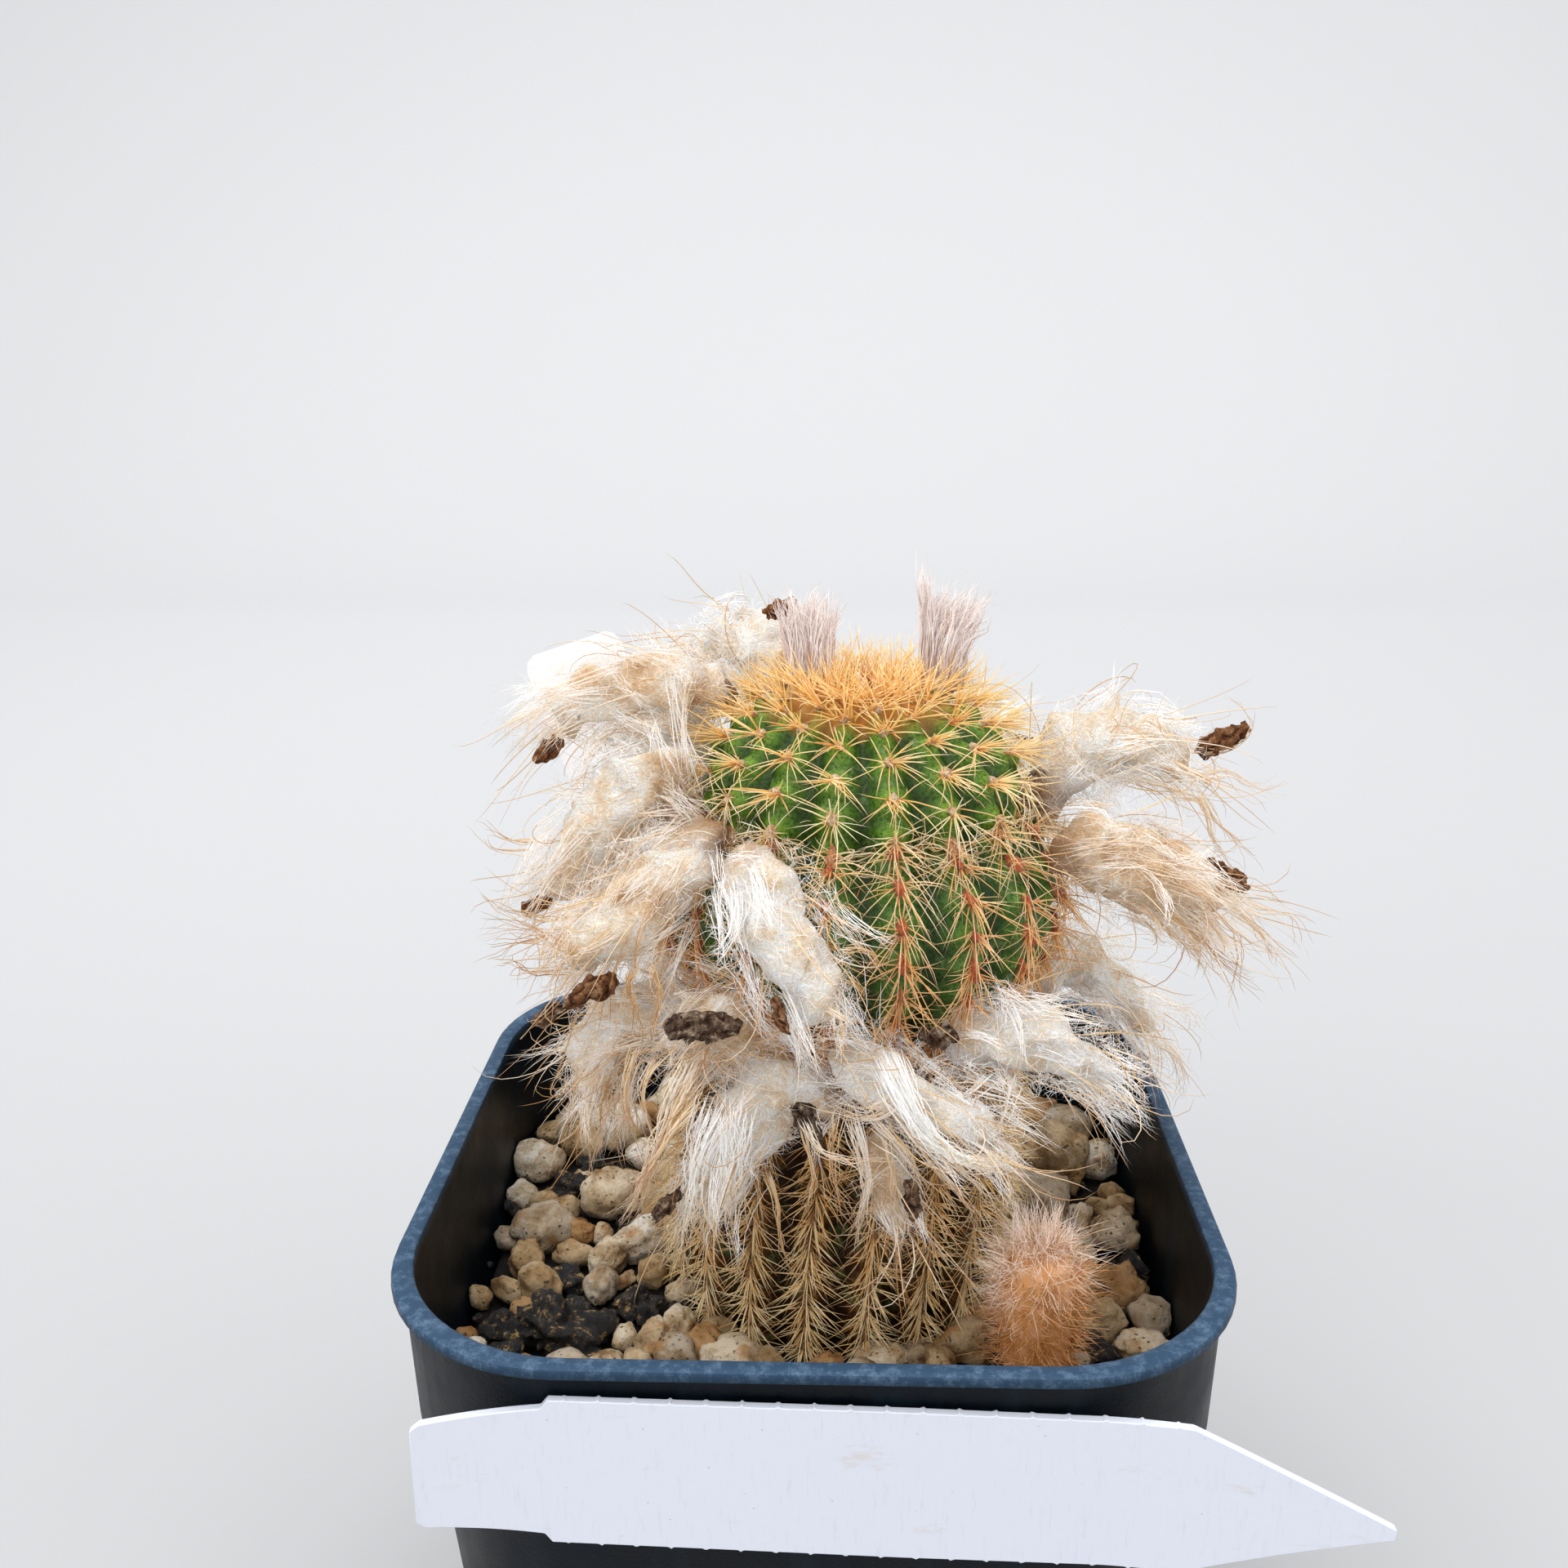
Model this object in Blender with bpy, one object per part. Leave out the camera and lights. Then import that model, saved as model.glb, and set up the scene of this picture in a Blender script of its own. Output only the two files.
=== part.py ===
"""A frailea cactus in a small square nursery pot, with its woolly dried fruits and two plant labels.

Units are metres, +Z is up, and the origin is the middle of the pot's underside. Layout points are given
in millimetres from the middle of the pot's rim, where the plant was measured.
"""

import math
import random

import bmesh
import bpy
from mathutils import Matrix, Vector, noise
from mathutils.bvhtree import BVHTree

MM = 0.001

# Pot: a rounded square, moulded with a rim band and one step in its wall
POT_HEIGHT = 70.0 * MM
RIM_HALF = 37.5 * MM
CORNER_SHARE = 0.4537
CORNER_STEPS = 5
WALL = 0.9 * MM
FLOOR = 1.3 * MM
RIM_BAND = 1.1 * MM
STEP_TOP = 55.0 * MM
STEP_LOW = 51.5 * MM
BAND_HALF = 36.6 * MM
STEP_TOP_HALF = 36.2 * MM
STEP_LOW_HALF = 35.2 * MM
FOOT_HALF = 31.0 * MM
DRAIN_RADIUS = 3.5 * MM
DRAIN_OFFSET = 19.0 * MM

# Touching solids keep this gap
GAP = 0.3 * MM
WELD = 0.002 * MM

# Growing mix and its pumice dressing
MIX_TOP = 53.0 * MM
SLAB = 1.6 * MM
STONE_SEED = 11
STONE_PITCH = 8.0 * MM
LAVA_STONES = (
    # x, y and radius in millimetres
    (-24.5, -22.5, 3.9),
    (-28.0, 9.0, 2.6),
    (27.0, -15.5, 2.4),
)

# Stem: radius in millimetres at each height in millimetres from the rim, from the root to the sunken tip
STEM_PROFILE = (
    (-28.0, 7.5),
    (-21.0, 12.4),
    (-16.5, 14.0),
    (-8.0, 15.0),
    (0.0, 15.1),
    (7.5, 14.3),
    (12.0, 12.8),
    (15.0, 11.4),
    (18.0, 12.9),
    (22.5, 16.4),
    (27.0, 17.7),
    (31.0, 17.1),
    (33.8, 15.2),
    (35.3, 13.9),
    (37.6, 14.2),
    (40.6, 13.2),
    (43.2, 10.8),
    (45.0, 7.2),
    (45.5, 3.6),
    (45.0, 0.0),
)
STEM_FOOT_X = 2.0 * MM
STEM_HEAD_X = 4.5 * MM
LEAN_LOW = -16.0 * MM
LEAN_HIGH = 22.0 * MM
RIBS = 18
AREOLE_PITCH = 2.8 * MM
RIB_RELIEF = 0.8 * MM
TUBERCLE_RELIEF = 0.5 * MM
SPINE_ROOT = 0.28 * MM
SPINE_LENGTH = 5.2 * MM
CROWN_SPINE_LENGTH = 6.5 * MM
SPINE_SEED = 5

# Woolly fruits
SEAT_GAP = 0.45 * MM
NECK_RADIUS = 0.75 * MM
TIP_RADIUS = 0.35 * MM
CORE_SIDES = 7
CORE_RINGS = 5
BRISTLES = 8
BRISTLE_RADIUS = 0.3 * MM
BRISTLE_LENGTH = 7.5 * MM
BRISTLE_SEED = 193
CLEAR = 0.55 * MM
FLOWER_CLEAR = 0.3 * MM
FLOWER_SUNK = 0.7 * MM

# Each fruit: the angle and height of its areole on the stem, the points of its middle line, its thickest
# radius and the two ends and radius of the dried flower left on it. Millimetres from the rim, degrees from +X.
FRUITS = {
    "fruit_left_top": (168, 41.5, ((-13.5, -1.5, 47.5), (-19.5, -4.5, 47.5), (-25.5, -6.0, 44.0)), 3.7,
                       ((-23.6, -6.6, 43.0), (-25.4, -7.0, 41.6), 0.9)),
    "fruit_left_high": (200, 37.5, ((-14.5, -6.5, 40.5), (-20.0, -9.0, 35.0), (-24.0, -9.5, 27.5)), 4.6,
                        ((-24.4, -11.0, 29.6), (-26.0, -11.6, 28.2), 0.8)),
    "fruit_left_low": (222, 33.5, ((-13.0, -13.5, 32.0), (-17.5, -16.5, 29.5), (-22.0, -18.5, 26.0)), 4.4,
                       ((-16.4, -20.6, 26.8), (-20.4, -22.0, 24.6), 1.1)),
    "fruit_front_white": (243, 33.0, ((-4.0, -19.0, 33.0), (-1.0, -21.8, 28.5), (1.6, -22.0, 21.5)), 4.4,
                          ((-2.8, -25.4, 27.0), (-1.6, -26.2, 24.0), 0.9)),
    "fruit_cage": (212, 18.0, ((-13.5, -11.5, 19.0), (-18.5, -13.5, 17.5), (-20.0, -14.5, 9.5)), 4.3,
                   ((-23.2, -14.5, 20.5), (-25.0, -15.4, 19.3), 0.9)),
    "fruit_bark": (235, 18.0, ((-6.5, -15.0, 19.5), (-8.8, -18.5, 21.2), (-12.0, -20.5, 19.0)), 3.6,
                   ((-5.6, -22.9, 23.0), (-12.0, -24.2, 23.6), 1.4)),
    "fruit_front_hanging": (250, 11.5, ((-3.0, -17.5, 14.8), (-7.0, -20.0, 10.5), (-11.0, -20.8, 3.6)), 3.9,
                            ((-11.8, -23.4, 7.0), (-13.6, -24.0, 5.2), 0.9)),
    "fruit_front_loop": (274, 17.0, ((4.0, -18.2, 17.6), (10.5, -20.5, 14.6), (18.0, -21.6, 10.6)), 3.5,
                         ((-0.6, -22.0, 14.6), (0.6, -23.2, 12.4), 1.0)),
    "fruit_front_thin": (284, 7.0, ((6.0, -19.0, 8.6), (7.2, -20.4, 5.8), (9.0, -20.8, 1.0)), 2.2,
                         ((8.6, -22.4, 7.8), (9.2, -22.9, 4.8), 0.9)),
    "fruit_right_low": (308, 17.5, ((15.0, -14.5, 18.6), (22.0, -16.5, 18.0), (28.5, -16.0, 13.5)), 4.1,
                        ((9.6, -17.6, 19.8), (12.8, -18.6, 20.4), 1.1)),
    "fruit_right_back": (12, 17.5, ((25.0, 4.5, 17.6), (31.0, 6.0, 13.6), (35.8, 6.5, 6.5)), 4.6, None),
    "fruit_right_high": (0, 36.0, ((24.5, 1.5, 40.0), (30.5, 1.5, 41.2), (36.5, 0.5, 38.8)), 4.8,
                         ((36.2, -0.6, 40.6), (40.6, -0.8, 43.2), 1.2)),
    "fruit_right_mid": (343, 32.0, ((27.0, -5.5, 32.4), (33.0, -6.5, 30.0), (38.2, -6.8, 26.0)), 5.0,
                        ((36.0, -6.0, 31.9), (40.4, -6.0, 29.2), 1.1)),
    "fruit_back_top": (118, 41.0, ((-4.5, 13.5, 47.0), (-8.5, 15.5, 48.5), (-13.5, 16.5, 46.5)), 4.1,
                       ((-5.0, 11.6, 51.6), (-2.4, 10.4, 53.2), 1.1)),
    "fruit_back_left": (158, 36.0, ((-13.0, 6.0, 40.5), (-17.5, 8.0, 42.0), (-21.5, 9.5, 38.0)), 4.3, None),
    "fruit_back_right": (58, 34.5, ((15.5, 18.5, 38.0), (18.5, 22.5, 36.0), (20.5, 25.0, 30.0)), 4.3,
                         ((22.0, 25.8, 34.8), (24.6, 27.8, 33.6), 1.0)),
    "fruit_back_mid": (88, 17.5, ((4.5, 18.0, 18.4), (5.0, 22.5, 16.0), (5.5, 25.0, 9.0)), 4.2, None),
    "fruit_back_low": (145, 17.5, ((-11.0, 13.0, 18.2), (-15.5, 16.0, 16.0), (-18.5, 17.5, 9.0)), 4.1,
                       ((-17.6, 20.2, 16.2), (-20.0, 22.2, 15.0), 1.0)),
    "fruit_back_hanging": (48, 17.5, ((18.0, 14.0, 17.5), (21.5, 17.0, 14.0), (23.0, 18.5, 7.0)), 4.0,
                           ((24.4, 19.6, 13.2), (26.6, 21.2, 12.0), 1.0)),
}
YOUNG_FRUITS = {
    "young_fruit_left": (140, 44.6, ((-0.2, 2.5, 50.0), (-0.6, 2.2, 53.5)), 2.9),
    "young_fruit_right": (25, 44.4, ((12.6, 2.6, 49.6), (13.2, 2.2, 55.0)), 2.9),
}

# Offset at the foot of the stem, in millimetres from the rim
PUP_CENTRE = (20.8, -19.0)
PUP_RADIUS = 5.2
PUP_TOP = 0.6
PUP_FOOT = -21.0
PUP_SPINES = 34
PUP_SPINE_LENGTH = 3.2 * MM

# Plant labels of blank white plastic: half width at each length from the head, to a cut point
LABEL_LENGTH = 80.0 * MM
LABEL_THICK = 0.7 * MM
FRONT_WIDTHS = (
    (0.0 * MM, 4.6 * MM),
    (10.0 * MM, 6.4 * MM),
    (11.0 * MM, 7.2 * MM),
    (40.0 * MM, 7.35 * MM),
    (62.6 * MM, 7.2 * MM),
    (70.0 * MM, 4.0 * MM),
    (78.4 * MM, 0.5 * MM),
)
STAKE_WIDTHS = (
    (0.0 * MM, 4.4 * MM),
    (0.5 * MM, 5.2 * MM),
    (1.6 * MM, 5.7 * MM),
    (62.0 * MM, 5.7 * MM),
    (79.6 * MM, 0.5 * MM),
)
FRONT_LABEL_HEAD = (-32.0, -9.8)
FRONT_LABEL_TURN = math.radians(-1.4)
FRONT_FLAT_FROM = 11.0 * MM
FRONT_FLAT_TO = 56.0 * MM
HEAD_BOW = 1.2 * MM
POINT_BOW = 3.4 * MM
STAKE_TOP = (-28.3, 29.5, 45.0)
STAKE_LEAN = math.radians(18.5)


def point(x, y, z):
    """A layout point, in millimetres from the middle of the rim, in metres."""
    return Vector((x * MM, y * MM, z * MM + POT_HEIGHT))


def spline(points, share):
    """A point of the smooth curve through the points, at a share of its length in spans."""
    spans = len(points) - 1
    position = min(max(share, 0.0), 1.0) * spans
    index = min(int(position), spans - 1)
    t = position - index
    before = points[index - 1] if index else points[0] * 2 - points[1]
    after = points[index + 2] if index + 2 <= spans else points[-1] * 2 - points[-2]
    a, b = points[index], points[index + 1]
    return 0.5 * (
        2 * a + (b - before) * t + (2 * before - 5 * a + 4 * b - after) * t * t
        + (3 * a - before - 3 * b + after) * t * t * t
    )


def even_line(points, count):
    """Evenly spaced points along the smooth curve through the points."""
    fine = [spline(points, t / 200) for t in range(201)]
    runs = [0.0]
    for a, b in zip(fine, fine[1:]):
        runs.append(runs[-1] + (b - a).length)
    line, at = [], 0
    for step in range(count):
        wanted = runs[-1] * step / (count - 1)
        while at < 199 and runs[at + 1] < wanted:
            at += 1
        share = (wanted - runs[at]) / max(runs[at + 1] - runs[at], 1e-9)
        line.append(fine[at].lerp(fine[at + 1], min(share, 1.0)))
    return line


def material(name, colour, roughness, metallic=0.0):
    made = bpy.data.materials.new(name)
    made.use_nodes = True
    shader = made.node_tree.nodes["Principled BSDF"]
    shader.inputs["Base Color"].default_value = (*colour, 1.0)
    shader.inputs["Roughness"].default_value = roughness
    shader.inputs["Metallic"].default_value = metallic
    return made


def collection(name):
    made = bpy.data.collections.new(name)
    bpy.context.scene.collection.children.link(made)
    return made


def add_object(name, bm, into, look=None):
    """A new object that holds the bmesh, with its normals turned outwards."""
    bmesh.ops.recalc_face_normals(bm, faces=bm.faces)
    mesh = bpy.data.meshes.new(name)
    bm.to_mesh(mesh)
    bm.free()
    made = bpy.data.objects.new(name, mesh)
    into.objects.link(made)
    if look:
        mesh.materials.append(look)
    return made


def smooth(obj, angle=40):
    obj.data.shade_smooth()
    obj.data.set_sharp_from_angle(angle=math.radians(angle))


def boolean(obj, other, operation, solver="EXACT"):
    """Joins or cuts obj by an object or a whole collection, applies it, and removes the others."""
    modifier = obj.modifiers.new(operation.title(), "BOOLEAN")
    modifier.operation = operation
    modifier.solver = solver
    if isinstance(other, bpy.types.Collection):
        modifier.operand_type = "COLLECTION"
        modifier.collection = other
        removed = list(other.objects)
    else:
        modifier.object = other
        removed = [other]
    graph = bpy.context.evaluated_depsgraph_get()
    mesh = bpy.data.meshes.new_from_object(obj.evaluated_get(graph))
    looks = list(obj.data.materials)
    obj.modifiers.clear()
    obj.data = mesh
    mesh.materials.clear()
    for look in looks:
        mesh.materials.append(look)
    for used in removed:
        bpy.data.objects.remove(used)


def tree_of(obj):
    return BVHTree.FromPolygons([v.co for v in obj.data.vertices], [p.vertices for p in obj.data.polygons])


def is_clear(tree, where, distance):
    """Whether a point is at least that far from the tree's surface."""
    return tree.find_nearest(where)[3] > distance


def largest_body(obj):
    """Keeps the largest body of a mesh, and drops scraps that are loose or touch it only at a point or an edge."""
    bm = bmesh.new()
    bm.from_mesh(obj.data)
    bmesh.ops.triangulate(bm, faces=bm.faces)
    bmesh.ops.dissolve_degenerate(bm, dist=WELD, edges=bm.edges)
    left, bodies = set(bm.faces), []
    while left:
        body, front = set(), [left.pop()]
        while front:
            face = front.pop()
            body.add(face)
            for edge in face.edges:
                if len(edge.link_faces) != 2:
                    continue
                for other in edge.link_faces:
                    if other in left:
                        left.remove(other)
                        front.append(other)
        bodies.append(body)
    keep = max(bodies, key=len)
    bmesh.ops.delete(bm, geom=[f for f in bm.faces if f not in keep], context="FACES")
    bm.to_mesh(obj.data)
    bm.free()


def loft(bm, rings, tip=None):
    """Skins the rings of points, closes the first, and closes the last or draws it to a tip."""
    rows = [[bm.verts.new(place) for place in ring] for ring in rings]
    count = len(rows[0])
    for low, high in zip(rows, rows[1:]):
        for i in range(count):
            bm.faces.new((low[i], low[(i + 1) % count], high[(i + 1) % count], high[i]))
    bm.faces.new(rows[0][::-1])
    if tip is None:
        bm.faces.new(rows[-1])
        return
    end = bm.verts.new(tip)
    for i in range(count):
        bm.faces.new((rows[-1][i], rows[-1][(i + 1) % count], end))


# Pot

def rounded_square(half, z):
    """The pot's outline at one level, counter-clockwise."""
    radius = half * CORNER_SHARE
    middle = half - radius
    ring = []
    for quarter in range(4):
        turn = Matrix.Rotation(quarter * math.pi / 2, 2)
        for step in range(CORNER_STEPS + 1):
            angle = step / CORNER_STEPS * math.pi / 2
            flat = turn @ Vector((middle + radius * math.cos(angle), middle + radius * math.sin(angle)))
            ring.append(Vector((flat.x, flat.y, z)))
    return ring


def tower(name, profile, into, look):
    """A solid of rounded squares, stacked from the first half width and height to the last."""
    bm = bmesh.new()
    loft(bm, [rounded_square(half, z) for half, z in profile])
    return add_object(name, bm, into, look)


def inner_profile(clearance, low, high):
    """Half width and height up the inside of the wall, less a clearance, between two heights."""
    wall = (
        (FOOT_HALF - WALL, FLOOR),
        (STEP_LOW_HALF - WALL, STEP_LOW + WALL),
        (STEP_TOP_HALF - WALL, STEP_TOP + WALL),
        (BAND_HALF - WALL, POT_HEIGHT),
    )

    def half_at(z):
        for (h0, z0), (h1, z1) in zip(wall, wall[1:]):
            if z <= z1:
                return h0 + (h1 - h0) * (z - z0) / (z1 - z0)
        return wall[-1][0]

    heights = [low, *(z for _, z in wall if low < z < high), high]
    return [(half_at(z) - clearance, z) for z in heights]


def make_pot(into):
    """The pot: up the outside, over the rim and down the inside to the floor, with four drain holes."""
    rim_inner = BAND_HALF - WALL
    edge = 0.3 * MM
    profile = [
        (FOOT_HALF, 0.0),
        (STEP_LOW_HALF, STEP_LOW),
        (STEP_TOP_HALF, STEP_TOP),
        (BAND_HALF, POT_HEIGHT - RIM_BAND),
        (RIM_HALF, POT_HEIGHT - RIM_BAND),
        (RIM_HALF, POT_HEIGHT - edge),
        (RIM_HALF - edge, POT_HEIGHT),
        (rim_inner, POT_HEIGHT),
        (STEP_TOP_HALF - WALL, STEP_TOP + WALL),
        (STEP_LOW_HALF - WALL, STEP_LOW + WALL),
        (FOOT_HALF - WALL, FLOOR),
    ]
    look = material("navy black polypropylene", (0.018, 0.024, 0.034), 0.45)
    pot = tower("pot", profile, into, look)
    cutters = collection("Cutters")
    for x in (-DRAIN_OFFSET, DRAIN_OFFSET):
        for y in (-DRAIN_OFFSET, DRAIN_OFFSET):
            bm = bmesh.new()
            bmesh.ops.create_cone(
                bm, cap_ends=True, segments=12, radius1=DRAIN_RADIUS, radius2=DRAIN_RADIUS, depth=4 * FLOOR
            )
            bmesh.ops.translate(bm, verts=bm.verts, vec=(x, y, 0))
            add_object("drain", bm, cutters)
    boolean(pot, cutters, "DIFFERENCE")
    bpy.data.collections.remove(cutters)
    smooth(pot)
    return pot


# Stem

def profile_curve(steps=12):
    """The stem's outline as (radius, height, length so far), smooth and finely sampled, in metres."""
    points = [Vector((r * MM, z * MM + POT_HEIGHT)) for z, r in STEM_PROFILE]
    count = (len(points) - 1) * steps
    curve, run, last = [], 0.0, None
    for index in range(count + 1):
        place = spline(points, index / count)
        if last is not None:
            run += (place - last).length
        curve.append((max(place.x, 0.0), place.y, run))
        last = place
    return curve


PROFILE = profile_curve()
PROFILE_LENGTH = PROFILE[-1][2]
SOIL_LENGTH = next(run for _, z, run in PROFILE if z > MIX_TOP)


def lean(z):
    """How far the stem's middle line stands from the pot's, at a height."""
    share = (z - POT_HEIGHT - LEAN_LOW) / (LEAN_HIGH - LEAN_LOW)
    share = min(max(share, 0.0), 1.0)
    return STEM_FOOT_X + (STEM_HEAD_X - STEM_FOOT_X) * share * share * (3 - 2 * share)


def profile_at(run):
    """Radius, height and outward slope (radial, vertical) at a length along the stem's outline."""
    run = min(max(run, 0.0), PROFILE_LENGTH)
    index = next((i for i, row in enumerate(PROFILE) if row[2] >= run and i), len(PROFILE) - 1)
    (r0, z0, s0), (r1, z1, s1) = PROFILE[index - 1], PROFILE[index]
    t = (run - s0) / max(s1 - s0, 1e-9)
    along = Vector((r1 - r0, z1 - z0)).normalized()
    return r0 + (r1 - r0) * t, z0 + (z1 - z0) * t, Vector((along.y, -along.x))


def on_stem(run, angle, raised=0.0):
    """A point of the stem's skin and its outward normal."""
    radius, z, out = profile_at(run)
    across = Vector((math.cos(angle), math.sin(angle), 0.0))
    normal = (across * out.x + Vector((0, 0, out.y))).normalized()
    return Vector((lean(z), 0, z)) + across * radius + normal * raised, normal


def areoles():
    """Every areole as (rib, length along the outline), staggered on alternate ribs."""
    first = SOIL_LENGTH + 1.5 * MM
    count = int((PROFILE_LENGTH - first) / AREOLE_PITCH)
    return [
        (rib, row, first + (row + 0.5 * (rib % 2)) * AREOLE_PITCH)
        for row in range(count)
        for rib in range(RIBS)
    ]


def nearest_areole(angle, height):
    """The crest angle and outline length of the areole nearest to an angle in degrees and a height in mm."""
    wanted = Vector((0, 0, height * MM + POT_HEIGHT))

    def miss(areole):
        rib, _, run = areole
        _, z, _ = profile_at(run)
        turn = (math.degrees(rib_angle(rib)) - angle + 180) % 360 - 180
        return abs(z - wanted.z) / AREOLE_PITCH + abs(turn) * RIBS / 360

    rib, _, run = min(areoles(), key=miss)
    return rib_angle(rib), run


def rib_angle(rib):
    return math.radians(270 + 10.3) + rib * 2 * math.pi / RIBS


def make_stem(into):
    """The stem's skin: ribs of low tubercles, raised by a rule, with the root tapering into the mix."""
    bm = bmesh.new()
    half_pitch = AREOLE_PITCH / 2
    first = SOIL_LENGTH + 1.5 * MM
    runs = [0.0, SOIL_LENGTH * 0.55, SOIL_LENGTH]
    run = first
    while run < PROFILE_LENGTH - half_pitch:
        runs.append(run)
        run += half_pitch
    rings = []
    for run in runs:
        row = round((run - first) / half_pitch)
        fade = min(1.0, max(0.0, (PROFILE_LENGTH - run) / (6 * MM)))
        above = 1.0 if run >= first else 0.0
        ring = []
        for column in range(RIBS * 2):
            rib = column // 2
            angle = rib_angle(rib) + (column % 2) * math.pi / RIBS
            crest = column % 2 == 0
            raised = (RIB_RELIEF if crest else 0.0) * fade * above
            if crest and (row + rib) % 2 == 0:
                raised += TUBERCLE_RELIEF * fade * above
            ring.append(on_stem(run, angle, raised)[0])
        rings.append(ring)
    loft(bm, rings)
    top = max(bm.verts, key=lambda v: v.co.z).co.z
    look = material("green stem skin", (0.05, 0.16, 0.03), 0.4)
    stem = add_object("stem", bm, into, look)
    return stem, top


def turned(name, profile, into, segments=32):
    """A turned solid round the stem's foot, from (radius, height) pairs, lowest first."""
    bm = bmesh.new()
    rings = []
    for radius, z in profile:
        rings.append([
            Vector((lean(z) + radius * math.cos(t * 2 * math.pi / segments),
                    radius * math.sin(t * 2 * math.pi / segments), z))
            for t in range(segments)
        ])
    loft(bm, rings)
    return add_object(name, bm, into)


# Growing mix and stones

def stone(bm, middle, radius, seed, subdivisions):
    """One rounded, lumpy stone."""
    made = bmesh.ops.create_icosphere(bm, subdivisions=subdivisions, radius=radius)["verts"]
    draw = random.Random(seed)
    shift = Vector((draw.random(), draw.random(), draw.random())) * 40
    stretch = Vector((draw.uniform(0.85, 1.2), draw.uniform(0.85, 1.15), draw.uniform(0.7, 0.95)))
    turn = Matrix.Rotation(draw.uniform(0, math.tau), 3, "Z") @ Matrix.Rotation(draw.uniform(-0.5, 0.5), 3, "X")
    for vert in made:
        lump = 1 + 0.22 * noise.noise(vert.co / radius * 0.9 + shift)
        vert.co = turn @ Vector(a * b for a, b in zip(vert.co * lump, stretch)) + middle


def stone_places():
    """Where the pumice stones lie: a jittered honeycomb, clear of the stem, the offset, the lava and the wall."""
    draw = random.Random(STONE_SEED)
    places = []
    rows = int(2 * RIM_HALF / (STONE_PITCH * 0.8))
    for row in range(-rows // 2, rows // 2 + 1):
        for column in range(-6, 7):
            x = (column + 0.5 * (row % 2)) * STONE_PITCH + draw.uniform(-1, 1) * MM
            y = row * STONE_PITCH * 0.82 + draw.uniform(-1, 1) * MM
            radius = draw.uniform(2.9, 4.7) * MM
            lift = draw.uniform(0.1, 1.5) * MM
            inner = STEP_LOW_HALF - WALL - 0.9 * radius
            corner = inner * CORNER_SHARE
            over = Vector((max(abs(x) - inner + corner, 0), max(abs(y) - inner + corner, 0))).length
            if over > corner or max(abs(x), abs(y)) > inner:
                continue
            if math.hypot(x - STEM_FOOT_X, y) < 15.2 * MM + 0.8 * radius:
                continue
            if math.hypot(x - PUP_CENTRE[0] * MM, y - PUP_CENTRE[1] * MM) < PUP_RADIUS * MM + 0.9 * radius:
                continue
            if any(math.hypot(x - lx * MM, y - ly * MM) < lr * MM + 1.1 * radius for lx, ly, lr in LAVA_STONES):
                continue
            places.append((Vector((x, y, MIX_TOP + SLAB + lift)), radius))
    return places


def make_mix(into):
    """The dark growing mix, with a few lava stones standing up through the pumice."""
    look = material("dark growing mix", (0.03, 0.026, 0.024), 0.95)
    mix = tower("growing_mix", inner_profile(GAP, FLOOR + GAP, MIX_TOP), into, look)
    lava = collection("Lava")
    for index, (x, y, radius) in enumerate(LAVA_STONES):
        bm = bmesh.new()
        stone(bm, Vector((x * MM, y * MM, MIX_TOP + 0.45 * radius * MM)), radius * MM, 90 + index, 2)
        add_object("lava", bm, lava)
    boolean(mix, lava, "UNION")
    bpy.data.collections.remove(lava)
    return mix


def make_pumice(into):
    """The pale dressing: stones sunk in a thin bed of smaller ones, one body that lies on the mix."""
    look = material("pumice", (0.62, 0.52, 0.4), 0.9)
    low, high = MIX_TOP + GAP, MIX_TOP + SLAB
    pumice = tower("pumice", inner_profile(1.5 * GAP, low, high), into, look)
    stones = collection("Stones")
    for index, (middle, radius) in enumerate(stone_places()):
        bm = bmesh.new()
        stone(bm, middle, radius, index, 2 if radius > 4.55 * MM else 1)
        bmesh.ops.bisect_plane(
            bm, geom=bm.verts[:] + bm.edges[:] + bm.faces[:], plane_co=(0, 0, low + 0.5 * MM),
            plane_no=(0, 0, 1), clear_inner=True,
        )
        bmesh.ops.holes_fill(bm, edges=[e for e in bm.edges if e.is_boundary])
        add_object("stone", bm, stones)
    boolean(pumice, stones, "UNION", "MANIFOLD")
    within = tower("within", inner_profile(1.5 * GAP, low - GAP, POT_HEIGHT - GAP), into, None)
    boolean(pumice, within, "INTERSECT", "MANIFOLD")
    for index, (x, y, radius) in enumerate(LAVA_STONES):
        bm = bmesh.new()
        wide = radius * 1.3 * MM + GAP
        bmesh.ops.create_cone(bm, cap_ends=True, segments=12, radius1=wide, radius2=wide, depth=30 * MM)
        bmesh.ops.translate(bm, verts=bm.verts, vec=(x * MM, y * MM, MIX_TOP))
        add_object("lava hole", bm, stones)
    boolean(pumice, stones, "DIFFERENCE")
    bpy.data.collections.remove(stones)
    return pumice


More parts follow.
